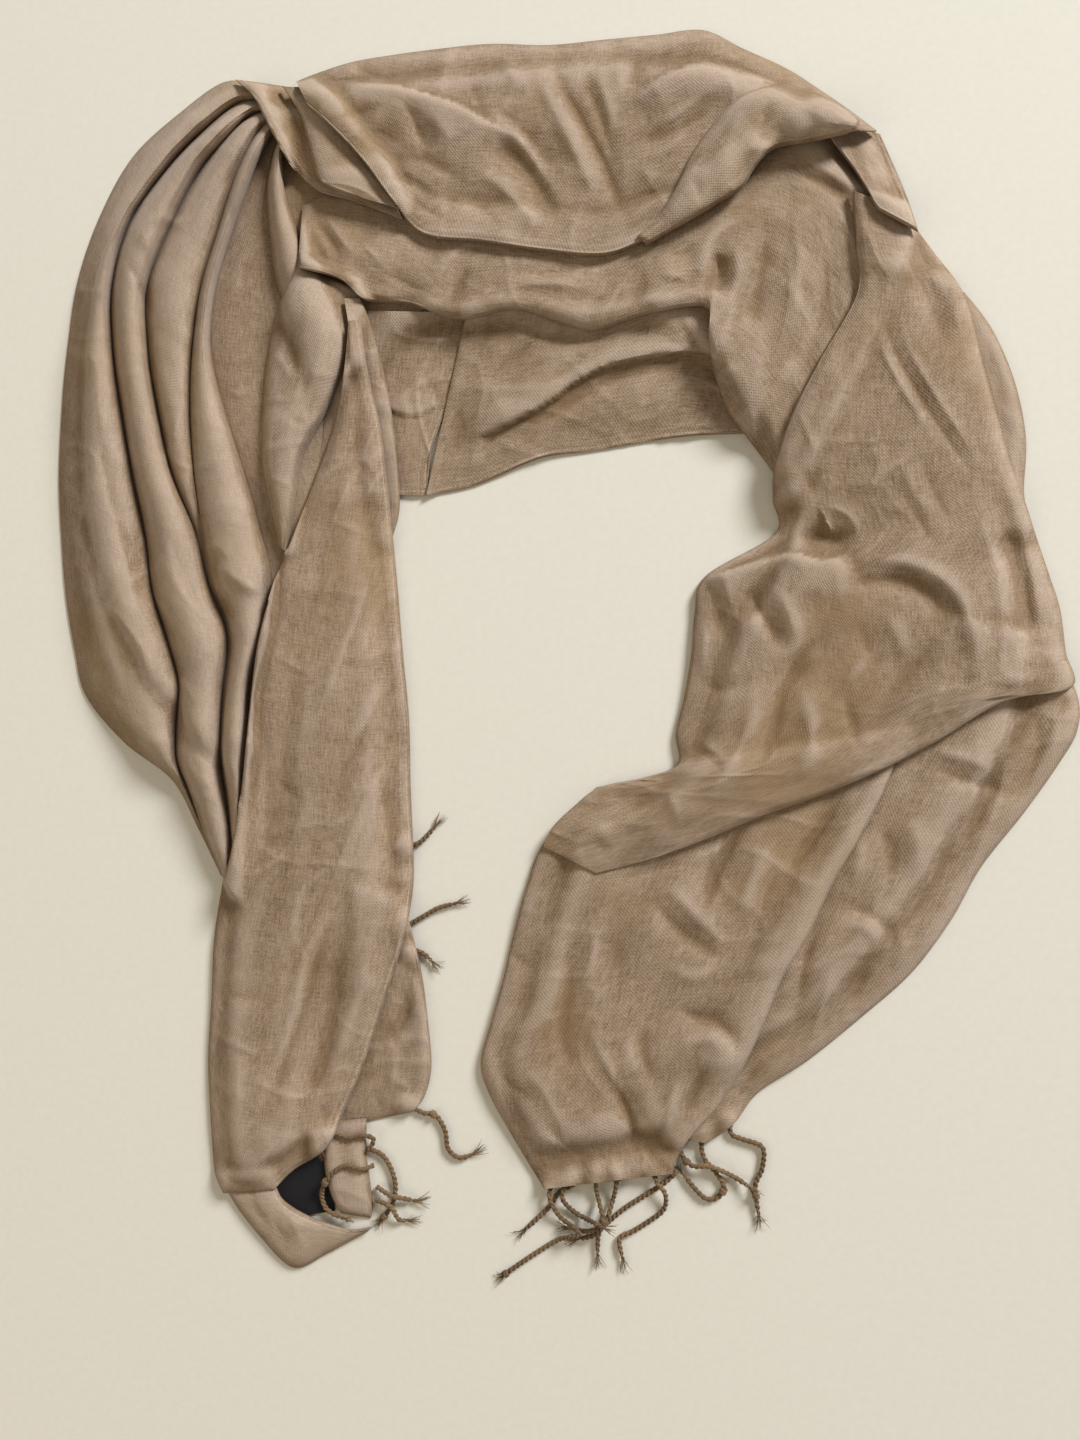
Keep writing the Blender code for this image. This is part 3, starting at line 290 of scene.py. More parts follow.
LEFT_UNDER_END = [
    Section(-112, -104, -84, -112, 0, 1, 1),
    Section(-112, -126, -79, -130, 0, 3, 3),
    Section(-114, -152, -73, -155, 0, 4, 4),
    Section(-120, -182, -69, -185, 0, 5, 5),
    Section(-126, -212, -67, -211, 0, 4, 4),
    Section(-131, -236, -71, -229, 0, 3, 3),
    Section(-134, -253, -78, -239, 0, 1, 1),
]
LEFT_UNDER_CREASES = [
    Crease(-5, 6, 8, [(-106, -202), (-97, -195), (-88, -188), (-82, -176), (-84, -158)]),
    Crease(2.5, 5, 12, [(-75, -156), (-72, -190), (-79, -214)]),
    Crease(2, 5, 10, [(-98, -216), (-86, -222), (-76, -226)]),
    Crease(-1.6, 4, 8, [(-104, -226), (-98, -238), (-96, -250)]),
]
FRONT_PANEL = [
    Section(-119, 246, -112, 246, 1, 2, 1),
    Section(-122, 216, -107, 214, 3, 6, 4),
    Section(-128, 183, -99, 180, 4, 8, 4),
    Section(-143, 144, -94, 140, 4, 9, 5),
    Section(-155, 115, -91, 110, 4, 8, 5),
    Section(-168, 84, -88, 78, 5, 8, 5),
    Section(-178, 48, -85, 42, 6, 8, 5),
    Section(-184, 4, -81, 0, 6, 8, 5),
    Section(-189, -44, -80, -42, 6, 8, 5),
    Section(-196, -83, -78, -90, 6, 8, 5),
    Section(-202, -106, -80, -114, 6, 8, 4),
    Section(-207, -138, -86, -140, 6, 7, 2),
    Section(-209, -178, -98, -176, 6, 6, 1),
    Section(-211, -212, -110, -212, 6, 6, 1),
    Section(-210, -240, -121, -238, 6, 7, 2),
    Section(-208, -270, -133, -264, 6, 9, 4),
    Section(-206, -286, -154, -279, 4, 6, 5),
    Section(-201, -297, -167, -292, 2, 2, 3),
]
FRONT_PANEL_CREASES = [
    Crease(2.8, 3.2, 18, [(-83, 0), (-104, -42), (-115, -66), (-126, -90), (-136, -112), (-147, -134)]),
    Crease(-2.2, 2.6, 16, [(-118, -70), (-130, -96), (-142, -124), (-155, -152)]),
    Crease(
        -3.2, 3.2, 26, [(-117, -90), (-140, -148), (-150, -184), (-160, -212), (-172, -242), (-201, -282)]
    ),
    Crease(1.8, 3.4, 24, [(-124, -92), (-138, -124), (-148, -150), (-156, -186), (-168, -216), (-180, -244)]),
    Crease(-2.8, 8, 30, [(-122, -122), (-127, -160), (-134, -200), (-146, -240), (-160, -270)]),
    Crease(2.2, 5, 24, [(-102, -110), (-110, -156), (-122, -194), (-138, -228)]),
    Crease(-2, 2.8, 14, [(-96, 98), (-104, 82), (-114, 58), (-127, 24), (-137, 3)]),
    Crease(2, 3.2, 16, [(-104, 94), (-112, 70), (-122, 44), (-134, 14), (-146, -14)]),
    Crease(-1.8, 2.8, 14, [(-86, 32), (-99, 8), (-112, -14), (-124, -36), (-135, -58)]),
    Crease(1.5, 3, 14, [(-88, 44), (-102, 18), (-116, -8), (-128, -32)]),
    Crease(1.2, 2.1, 10, [(-116, 120), (-129, 94), (-141, 62), (-152, 33)]),
    Crease(1.2, 2.1, 8, [(-173, 41), (-161, 37), (-150, 31), (-138, 27)]),
    Crease(1.1, 2.1, 8, [(-136, 125), (-120, 119), (-105, 113)]),
    Crease(1.2, 2.1, 6, [(-119, 98), (-110, 117), (-99, 137)]),
    Crease(2, 9, 30, [(-148, 70), (-146, 20), (-152, -30), (-156, -78)]),
    Crease(-2, 7, 30, [(-170, 30), (-172, -20), (-172, -70), (-182, -120)]),
    Crease(1.6, 5, 20, [(-166, -60), (-176, -104), (-186, -140)]),
    Crease(-1.4, 2.4, 8, [(-168, -36), (-156, -46), (-148, -55)]),
    Crease(-1.6, 5, 10, [(-208, -173), (-190, -173), (-163, -177)]),
    Crease(1.6, 2.6, 8, [(-212, -194), (-198, -202), (-184, -207), (-170, -214)]),
    Crease(-1.6, 3, 12, [(-202, -188), (-207, -214), (-206, -240)]),
    Crease(1.8, 4, 16, [(-190, -200), (-192, -228), (-190, -256)]),
    Crease(-2, 3, 8, [(-205, -284), (-192, -290), (-178, -292), (-166, -291)]),
    Crease(-1.6, 3, 10, [(-118, 176), (-124, 158), (-134, 138)]),
    Crease(-1.8, 4, 10, [(-100, -20), (-96, -50), (-92, -84)]),
]
TURNED_HEM = [
    Section(-170, -280, -202, -286, 1, 2, 1),
    Section(-165, -294, -194, -302, 3, 5, 3),
    Section(-160, -300, -176, -323, 4, 6, 3),
    Section(-149, -306, -155, -340, 5, 7, 3),
    Section(-134, -311, -134, -330, 5, 6, 3),
    Section(-118, -314, -119, -321, 4, 4, 2),
    Section(-104, -311, -107, -314, 2, 2, 1),
]
TURNED_HEM_CREASES = [
    Crease(1.5, 3, 6, [(-160, -304), (-153, -318), (-146, -330)]),
    Crease(-1.6, 3, 6, [(-170, -303), (-164, -318), (-156, -332)]),
    Crease(-1.2, 2.6, 5, [(-188, -300), (-176, -308), (-168, -318)]),
]
END_TONGUE = [
    Section(-136, -249, -108, -245, 1, 2, 1),
    Section(-135, -264, -108, -266, 3, 5, 3),
    Section(-134, -280, -106, -282, 3, 6, 3),
    Section(-130, -294, -104, -296, 3, 6, 3),
    Section(-124, -304, -105, -306, 2, 4, 2),
]
END_TONGUE_CREASES = [
    Crease(-2, 4, 6, [(-120, -250), (-122, -270), (-118, -290)]),
    Crease(1.6, 4, 6, [(-112, -262), (-113, -282), (-110, -300)]),
]
LABEL = [
    Section(-172, -284, -132, -262, 0, 0.5, 0),
    Section(-170, -298, -130, -282, 0, 0.5, 0),
    Section(-160, -310, -128, -303, 0, 0.5, 0),
]

MIDDLE_BAND = [
    Section(-149, 319, -152, 281, 4, 7, 5),
    Section(-130, 326, -125, 272, 1, 6, 6),
    Section(-110, 330, -108, 258, 1, 6, 6),
    Section(-85, 320, -80, 254, 1, 6, 6),
    Section(-60, 308, -50, 243, 1, 6, 7),
    Section(-28, 302, -15, 247, 1, 6, 7),
    Section(5, 298, 12, 238, 1, 6, 7),
    Section(35, 294, 33, 232, 1, 6, 7),
    Section(65, 298, 66, 240, 1, 6, 7),
    Section(94, 308, 98, 242, 1, 6, 6),
    Section(118, 320, 100, 225, 1, 7, 6),
    Section(148, 338, 103, 204, 1, 8, 6),
    Section(176, 338, 111, 181, 2, 8, 6),
    Section(203, 308, 122, 165, 2, 8, 6),
    Section(212, 280, 137, 144, 2, 6, 4),
    Section(200, 240, 146, 128, 0, 3, 1),
]
MIDDLE_BAND_CREASES = [
    Crease(-8, 5, 5, [(104, 276), (106, 262), (103, 247)]),
    Crease(4.5, 4, 10, [(96, 248), (96, 264), (100, 279), (111, 289), (127, 293)]),
    Crease(3, 4.5, 10, [(114, 282), (117, 264), (113, 248), (106, 232)]),
    Crease(-3, 6, 20, [(134, 298), (132, 270), (127, 242), (125, 216)]),
    Crease(2.4, 6, 20, [(148, 304), (152, 272), (149, 242), (141, 206)]),
    Crease(-2.5, 5, 18, [(166, 296), (168, 270), (166, 240), (156, 206), (146, 180)]),
    Crease(2, 4, 14, [(107, 226), (112, 206), (120, 188), (131, 168)]),
    Crease(-1.5, 3, 10, [(132, 200), (144, 210), (158, 214)]),
    Crease(3.8, 3.4, 8, [(148, 330), (160, 322), (176, 310), (190, 299), (202, 289)]),
    Crease(-4, 3.2, 8, [(144, 322), (160, 312), (175, 302), (184, 290)]),
    Crease(-5, 5, 8, [(160, 336), (174, 324), (186, 311), (198, 300)]),
    Crease(-3.4, 3.6, 8, [(-57, 244), (-51, 258), (-46, 268), (-45, 280)]),
    Crease(2.6, 4, 8, [(-64, 260), (-57, 278), (-45, 288), (-31, 291)]),
    Crease(2.8, 5, 14, [(-36, 256), (-14, 261), (6, 262), (26, 258), (42, 256)]),
    Crease(-3, 4, 12, [(-34, 274), (-10, 269), (14, 268), (36, 272), (54, 280)]),
    Crease(2.2, 3, 8, [(34, 238), (46, 252), (56, 266)]),
    Crease(-2.4, 3.6, 8, [(56, 240), (61, 256), (62, 272)]),
    Crease(2.4, 5, 10, [(68, 262), (80, 262), (92, 254)]),
    Crease(-2, 4, 10, [(70, 276), (84, 274), (94, 280)]),
    Crease(-3, 3, 8, [(-143, 314), (-135, 301), (-127, 289), (-121, 279)]),
    Crease(2.6, 4, 10, [(-136, 316), (-125, 298), (-112, 282)]),
    Crease(1.2, 2.1, 5, [(-113, 295), (-105, 287), (-96, 277)]),
    Crease(2.2, 4, 8, [(-114, 266), (-96, 260), (-82, 261)]),
    Crease(-2.8, 3.6, 8, [(-102, 274), (-87, 269), (-75, 263), (-62, 263)]),
    Crease(-2, 5, 12, [(-98, 312), (-82, 298), (-66, 288)]),
]

COLLAR_LEFT_END = [
    Section(-193, 401, -152, 392, 3, 5, 2),
    Section(-181, 389, -140, 380, 4, 6, 2),
    Section(-173, 374, -126, 368, 4, 6, 2),
    Section(-165, 359, -112, 354, 4, 6, 2),
    Section(-154, 341, -100, 338, 4, 5, 2),
    Section(-140, 328, -92, 324, 3, 4, 1),
    Section(-119, 321, -84, 306, 1, 2, 1),
]
COLLAR_LEFT_END_CREASES = [
    Crease(-2, 3, 10, [(-178, 396), (-168, 378), (-158, 360), (-148, 342)]),
    Crease(1.6, 3, 10, [(-168, 392), (-160, 374), (-151, 356)]),
]
COLLAR_LEFT_LAYER = [
    Section(-162, 394, -144, 392, 2, 3, 1),
    Section(-151, 377, -130, 380, 3, 4, 1),
    Section(-146, 361, -118, 364, 3, 4, 1),
    Section(-142, 345, -106, 348, 3, 4, 1),
    Section(-136, 332, -94, 334, 3, 4, 1),
    Section(-113, 322, -84, 312, 2, 3, 1),
]
COLLAR = [
    Section(-153, 396, -145, 380, 3, 4, 2),
    Section(-140, 400, -131, 367, 5, 6, 2),
    Section(-117, 405, -110, 344, 6, 7, 2),
    Section(-90, 407, -91, 318, 6, 8, 2),
    Section(-62, 408, -72, 296, 6, 9, 3),
    Section(-30, 408, -36, 289, 6, 9, 4),
    Section(5, 404, 2, 281, 6, 8, 4),
    Section(40, 404, 37, 276, 6, 8, 4),
    Section(70, 404, 60, 282, 6, 8, 4),
    Section(97, 404, 86, 294, 6, 8, 4),
    Section(120, 391, 106, 303, 6, 8, 4),
    Section(145, 377, 121, 313, 6, 8, 4),
    Section(165, 362, 132, 329, 6, 8, 4),
    Section(180, 350, 150, 334, 6, 7, 4),
    Section(195, 337, 176, 339, 4, 5, 3),
]
COLLAR_CREASES = [
    Crease(-6, 4, 12, [(2, 403), (8, 392), (14, 377), (23, 360), (32, 342), (40, 325), (49, 302), (57, 287)]),
    Crease(3.5, 5, 14, [(-6, 400), (0, 384), (10, 362), (20, 342), (30, 320), (40, 300)]),
    Crease(-3.2, 4.5, 12, [(25, 398), (30, 376), (38, 354), (43, 337), (49, 318)]),
    Crease(2.8, 4, 10, [(34, 390), (41, 364), (46, 342)]),
    Crease(-2.5, 6, 14, [(58, 396), (57, 382), (60, 368)]),
    Crease(2, 5, 12, [(46, 396), (47, 380), (50, 364)]),
    Crease(2, 3.2, 12, [(47, 353), (64, 350), (84, 358), (104, 371), (122, 372)]),
    Crease(-2, 3.2, 12, [(49, 344), (68, 343), (88, 350), (110, 366)]),
    Crease(1.5, 3, 10, [(54, 334), (70, 334), (86, 344), (98, 356)]),
    Crease(-2.6, 2.6, 7, [(48, 300), (60, 308), (80, 313)]),
    Crease(-3.6, 8, 20, [(-40, 352), (-22, 342), (-7, 328), (8, 302), (18, 284)]),
    Crease(3, 6, 18, [(-44, 372), (-22, 358), (-6, 339), (8, 318), (18, 296)]),
    Crease(-3, 6, 16, [(-36, 378), (-18, 362), (-2, 344), (12, 322)]),
    Crease(2.8, 6, 18, [(-48, 338), (-26, 324), (-8, 304), (2, 286)]),
    Crease(-1.8, 4, 14, [(-52, 322), (-36, 310), (-22, 294)]),
    Crease(1.2, 2.2, 8, [(10, 330), (22, 324), (34, 326)]),
    Crease(-2, 2.8, 12, [(-132, 371), (-112, 373), (-94, 380)]),
    Crease(-4, 5, 10, [(-88, 383), (-80, 370), (-74, 356), (-66, 347)]),
    Crease(2.5, 6, 14, [(-72, 376), (-62, 362), (-52, 350)]),
    Crease(-2.4, 6, 10, [(-106, 364), (-92, 356), (-84, 350)]),
    Crease(2.4, 4, 12, [(-104, 338), (-86, 336), (-68, 326), (-54, 312)]),
    Crease(-3, 4.5, 12, [(-92, 346), (-74, 342), (-58, 334), (-44, 322)]),
    Crease(1.4, 2.6, 8, [(-100, 326), (-82, 326), (-70, 316)]),
    Crease(-2, 3.5, 10, [(-84, 322), (-66, 308), (-52, 300)]),
    Crease(-2.5, 5, 12, [(-120, 402), (-104, 396), (-96, 390)]),
    Crease(-2, 5, 12, [(-44, 388), (-36, 372), (-30, 362)]),
    Crease(2, 5, 12, [(-20, 402), (-18, 390), (-12, 376)]),
]
COLLAR_STEPS = [
    Step(
        5, 5, 26, 26, [(-16, 352), (-36, 365), (-53, 375), (-73, 383), (-94, 390), (-114, 393), (-140, 394)]
    ),
    Step(4.5, 5, 20, 14, [(142, 368), (130, 374), (121, 378), (97, 386), (82, 383), (70, 378), (55, 369)]),
]
COLLAR_RIGHT_END = [
    Section(162, 354, 197, 335, 1, 2, 2),
    Section(168, 338, 204, 318, 2, 4, 3),
    Section(184, 314, 211, 300, 2, 4, 3),
    Section(196, 292, 218, 278, 2, 3, 2),
]
COLLAR_RIGHT_END_CREASES = [
    Crease(-4, 2.6, 6, [(192, 340), (199, 322), (205, 306), (212, 288)]),
    Crease(1.6, 3, 6, [(186, 334), (190, 318), (197, 302)]),
]
COLLAR_FLAP = [
    Section(58, 286, 64, 281, 2, 3, 2),
    Section(71, 297, 78, 288, 3, 4, 3),
    Section(81, 313, 94, 296, 4, 6, 3),
    Section(90, 331, 107, 303, 5, 7, 3),
    Section(103, 349, 119, 310, 5, 8, 3),
    Section(120, 364, 128, 323, 5, 9, 3),
    Section(141, 368, 139, 332, 5, 9, 3),
    Section(163, 361, 159, 334, 5, 8, 3),
    Section(186, 344, 184, 338, 4, 5, 2),
]
COLLAR_FLAP_CREASES = [
    Crease(-3.5, 6, 8, [(137, 364), (133, 349), (129, 331)]),
    Crease(2.4, 5, 10, [(122, 358), (112, 338), (98, 310)]),
    Crease(1.8, 4, 8, [(146, 360), (158, 352), (172, 346)]),
    Crease(-1.6, 3, 6, [(88, 322), (94, 312), (96, 300)]),
]

RIGHT_OUTER_FOLD = [
    Section(222, 250, 243, 242, 0, 2, 2),
    Section(232, 218, 258, 220, 0, 4, 4),
    Section(240, 190, 270, 190, 0, 5, 5),
    Section(247, 160, 276, 158, 0, 5, 5),
    Section(253, 132, 275, 128, 0, 4, 4),
    Section(258, 106, 278, 108, 0, 1, 1),
]
RIGHT_OUTER_CREASES = [
    Crease(-2, 3, 12, [(250, 226), (258, 200), (264, 172), (268, 142)]),
    Crease(1.6, 3, 12, [(256, 222), (264, 196), (270, 170)]),
]
RIGHT_BACK = [
    Section(236, 52, 290, 44, 0, 1, 0),
    Section(222, 24, 303, 14, 0, 4, 4),
    Section(206, 4, 303, -6, 0, 5, 6),
    Section(190, -20, 293, -25, 0, 6, 6),
    Section(176, -50, 275, -52, 0, 6, 6),
    Section(160, -80, 252, -83, 0, 6, 6),
    Section(145, -110, 236, -113, 0, 6, 6),
    Section(130, -138, 215, -143, 0, 6, 6),
    Section(115, -165, 189, -168, 0, 5, 6),
    Section(100, -190, 157, -196, 0, 5, 6),
    Section(88, -214, 129, -216, 0, 4, 5),
    Section(80, -232, 114, -236, 0, 3, 3),
    Section(76, -243, 98, -248, 0, 1, 1),
]
RIGHT_BACK_CREASES = [
    Crease(-3.5, 4, 12, [(220, -25), (240, -33), (258, -39), (275, -45)]),
    Crease(3, 4, 12, [(222, -16), (246, -23), (264, -32)]),
    Crease(-2.2, 2.6, 12, [(262, 6), (260, -18), (254, -44), (246, -66), (237, -90)]),
    Crease(2.2, 2.8, 12, [(268, 2), (267, -20), (262, -42), (254, -64), (245, -88)]),
    Crease(1.8, 2.8, 12, [(250, 0), (250, -24), (246, -46), (239, -68), (230, -92)]),
    Crease(-2, 3, 10, [(277, 8), (283, -6), (280, -24), (273, -38)]),
    Crease(2.6, 4, 10, [(284, 12), (292, 1), (290, -14), (282, -30), (276, -46)]),
    Crease(-3, 6, 14, [(196, -58), (203, -76), (200, -96)]),
    Crease(2.4, 6, 14, [(212, -50), (218, -74), (214, -98)]),
    Crease(2, 6, 12, [(184, -62), (186, -80), (180, -98)]),
    Crease(-2.6, 3.5, 10, [(164, -113), (180, -109), (194, -113), (203, -123), (205, -138)]),
    Crease(2.4, 4, 10, [(170, -121), (183, -118), (193, -124), (196, -138)]),
    Crease(-4, 4.5, 12, [(170, -106), (161, -123), (155, -142), (152, -162), (149, -184)]),
    Crease(-2.4, 5, 10, [(193, -136), (185, -152), (178, -170)]),
    Crease(2.6, 4, 10, [(174, -132), (168, -150), (163, -172), (156, -192)]),
    Crease(1.8, 4, 10, [(206, -116), (210, -130), (204, -146)]),
    Crease(-3, 5, 8, [(132, -196), (122, -212), (112, -226)]),
]
RIGHT_LOWER = [
    Section(34, -40, 212, -8, 0, 2, 0),
    Section(3, -73, 194, -52, 5, 6, 7),
    Section(-8, -100, 171, -94, 6, 6, 10),
    Section(-16, -129, 157, -124, 6, 6, 12),
    Section(-22, -155, 143, -148, 6, 6, 12),
    Section(-29, -180, 132, -176, 6, 6, 12),
    Section(-36, -207, 118, -206, 6, 7, 11),
    Section(-31, -225, 103, -229, 6, 7, 9),
    Section(-21, -243, 90, -244, 5, 7, 7),
    Section(-8, -264, 82, -257, 4, 5, 5),
    Section(3, -281, 79, -267, 1, 1, 1),
]
RIGHT_LOWER_CREASES = [
    Crease(-5, 5, 12, [(179, -40), (170, -54), (160, -68), (150, -82), (143, -92)]),
    Crease(3, 5, 14, [(190, -46), (182, -62), (172, -80), (162, -97), (152, -114), (146, -130)]),
    Crease(-5, 6, 12, [(124, -58), (113, -72), (105, -86), (100, -100), (97, -114)]),
    Crease(2.6, 6, 14, [(138, -66), (129, -84), (122, -102), (118, -122)]),
    Crease(-2.4, 5, 12, [(142, -82), (135, -98), (130, -114), (128, -130)]),
    Crease(-3, 6, 14, [(63, -98), (74, -114), (88, -128), (104, -137), (118, -142)]),
    Crease(2.6, 5, 12, [(72, -94), (87, -109), (101, -123), (114, -132)]),
    Crease(-2.4, 4, 12, [(42, -97), (58, -92), (76, -86), (96, -82)]),
    Crease(2, 6, 14, [(70, -142), (90, -150), (112, -140)]),
    Crease(-3.6, 5, 10, [(76, -166), (92, -174), (106, -178), (115, -188), (115, -204)]),
    Crease(3.6, 5, 8, [(82, -200), (90, -189), (102, -188), (108, -198)]),
    Crease(-5, 6, 10, [(102, -200), (95, -211), (89, -224), (84, -240)]),
    Crease(3.4, 4, 12, [(84, -204), (79, -222), (75, -244), (75, -260)]),
    Crease(2.6, 3.4, 12, [(28, -174), (34, -192), (43, -210), (54, -228), (64, -250)]),
    Crease(-5, 7, 14, [(42, -204), (50, -226), (56, -246), (56, -266)]),
    Crease(-2.4, 6, 10, [(66, -180), (61, -194), (66, -208), (70, -220)]),
    Crease(2, 5, 10, [(54, -184), (54, -198), (58, -212)]),
    Crease(-1.6, 3, 6, [(-21, -140), (-13, -144), (-5, -147)]),
    Crease(2, 7, 20, [(2, -108), (0, -150), (-6, -188)]),
    Crease(-2.6, 7, 20, [(20, -114), (17, -156), (14, -192), (24, -216)]),
    Crease(-2, 4, 10, [(-27, -210), (-16, -221), (0, -230)]),
    Crease(2, 6, 12, [(-14, -204), (2, -222), (14, -246), (18, -268)]),
    Crease(-2.2, 6, 12, [(0, -240), (14, -252), (32, -264)]),
    Crease(-2.4, 12, 30, [(42, -116), (48, -146), (46, -174)]),
    Crease(1.6, 4, 16, [(30, -112), (32, -140), (30, -166)]),
    Crease(-1.6, 4, 14, [(-12, -112), (-17, -144), (-24, -176)]),
]
RIGHT_FRONT = [
    Section(182, 304, 208, 292, 3, 5, 2),
    Section(184, 270, 226, 266, 4, 7, 4),
    Section(184, 244, 243, 240, 4, 8, 5),
    Section(163, 207, 252, 205, 4, 9, 6),
    Section(148, 177, 260, 174, 5, 10, 6),
    Section(138, 147, 268, 144, 5, 9, 6),
    Section(137, 128, 275, 124, 5, 8, 6),
    Section(138, 108, 281, 104, 4, 8, 7),
    Section(98, 84, 288, 82, 5, 10, 7),
    Section(92, 62, 294, 62, 6, 10, 7),
    Section(90, 38, 297, 38, 6, 9, 7),
    Section(86, 14, 300, 18, 6, 9, 6),
    Section(81, -8, 264, 10, 5, 9, 5),
    Section(82, -26, 222, -16, 5, 9, 6),
    Section(62, -34, 173, -40, 4, 9, 6),
    Section(36, -40, 131, -56, 4, 7, 6),
    Section(20, -52, 99, -70, 4, 4, 4),
    Section(8, -64, 66, -82, 3, 2, 1),
    Section(2, -76, 34, -91, 1, 1, 0),
]
RIGHT_FRONT_CREASES = [
    Crease(-3, 2.8, 14, [(196, 242), (203, 216), (211, 198), (221, 180), (232, 162), (242, 146), (252, 128)]),
    Crease(2.6, 3.2, 14, [(192, 236), (198, 214), (206, 196), (216, 178), (227, 160)]),
    Crease(2, 3, 14, [(204, 240), (210, 220), (218, 202), (228, 184), (239, 166), (249, 148), (258, 128)]),
    Crease(-3.5, 8, 22, [(198, 290), (212, 264), (225, 236), (234, 210), (240, 192)]),
    Crease(2.6, 5, 14, [(188, 290), (195, 266), (206, 248)]),
    Crease(2, 5, 20, [(222, 264), (236, 236), (244, 210)]),
    Crease(1.3, 2.2, 8, [(150, 182), (156, 168), (162, 150)]),
    Crease(1.3, 2.2, 10, [(178, 122), (190, 132), (200, 142), (212, 150), (225, 159)]),
    Crease(-1.8, 3, 12, [(216, 156), (222, 140), (230, 122), (241, 104)]),
    Crease(-1.8, 3, 12, [(205, 138), (213, 122), (224, 105), (234, 92)]),
    Crease(1.8, 4, 12, [(208, 150), (216, 130), (226, 112)]),
    Crease(-3, 5, 20, [(256, 132), (264, 108), (270, 84), (272, 60), (270, 38)]),
    Crease(2.4, 4, 20, [(264, 140), (273, 110), (280, 80), (284, 50), (286, 24)]),
    Crease(2, 3, 14, [(248, 120), (257, 98), (262, 76), (264, 50), (262, 26)]),
    Crease(-1.8, 2.6, 10, [(276, 92), (276, 66), (278, 44)]),
    Crease(-7, 7, 7, [(148, 109), (162, 104), (173, 103), (179, 114)]),
    Crease(3.6, 4, 6, [(162, 124), (175, 121), (184, 112), (184, 99)]),
    Crease(2, 6, 10, [(144, 140), (148, 126), (144, 114)]),
    Crease(-2, 5, 10, [(156, 150), (158, 136), (170, 128)]),
    Crease(4.2, 7, 18, [(172, 91), (198, 92), (222, 86), (239, 72), (248, 50), (251, 28), (246, 12)]),
    Crease(-4.2, 6, 14, [(168, 79), (190, 80), (208, 78), (223, 71), (231, 58), (232, 42)]),
    Crease(2.4, 8, 12, [(198, 64), (208, 48), (214, 28)]),
    Crease(-2, 6, 12, [(184, 60), (190, 44), (196, 24)]),
    Crease(-4.6, 5.5, 12, [(121, 82), (128, 66), (137, 50), (142, 36)]),
    Crease(4, 5.5, 12, [(136, 80), (146, 62), (149, 46), (144, 33)]),
    Crease(-4, 4.6, 14, [(166, 64), (159, 47), (150, 32), (142, 16), (138, -2), (132, -20), (122, -36)]),
    Crease(3.2, 6, 16, [(153, 22), (158, 0), (158, -20), (148, -38)]),
    Crease(3.2, 6, 16, [(128, 28), (126, 4), (117, -18), (105, -38), (95, -54)]),
    Crease(1.8, 3, 8, [(176, 18), (190, 34), (202, 44)]),
    Crease(-2.6, 3, 10, [(177, 20), (180, 4), (184, -12), (191, -23)]),
    Crease(-2, 5, 16, [(222, 20), (244, 22), (264, 18), (288, 17)]),
    Crease(2.2, 4, 12, [(196, -8), (220, 2), (246, 9), (266, 10)]),
    Crease(-1.8, 2.6, 6, [(94, -18), (102, -24), (111, -32)]),
    Crease(1.8, 3, 6, [(92, -12), (102, -17), (113, -25)]),
    Crease(2, 4, 10, [(100, 64), (97, 44), (98, 24)]),
    Crease(-1.8, 3, 8, [(94, 23), (107, 18), (121, 23)]),
    Crease(-2.4, 5, 10, [(38, -48), (55, -45), (72, -46)]),
    Crease(2, 4, 10, [(74, -36), (80, -50), (84, -64)]),
    Crease(-3, 6, 8, [(22, -72), (33, -78), (44, -74)]),
    Crease(1.6, 4, 8, [(44, -60), (60, -62), (76, -60)]),
    Crease(-2, 6, 16, [(112, 74), (106, 58), (112, 44)]),
    Crease(2, 4, 12, [(158, 82), (150, 92), (138, 90)]),
]
RIGHT_FRONT_STEPS = [
    Step(6, 4, 24, 10, [(180, 97), (172, 94), (163, 93), (149, 97), (136, 95), (125, 92), (98, 83)]),
]

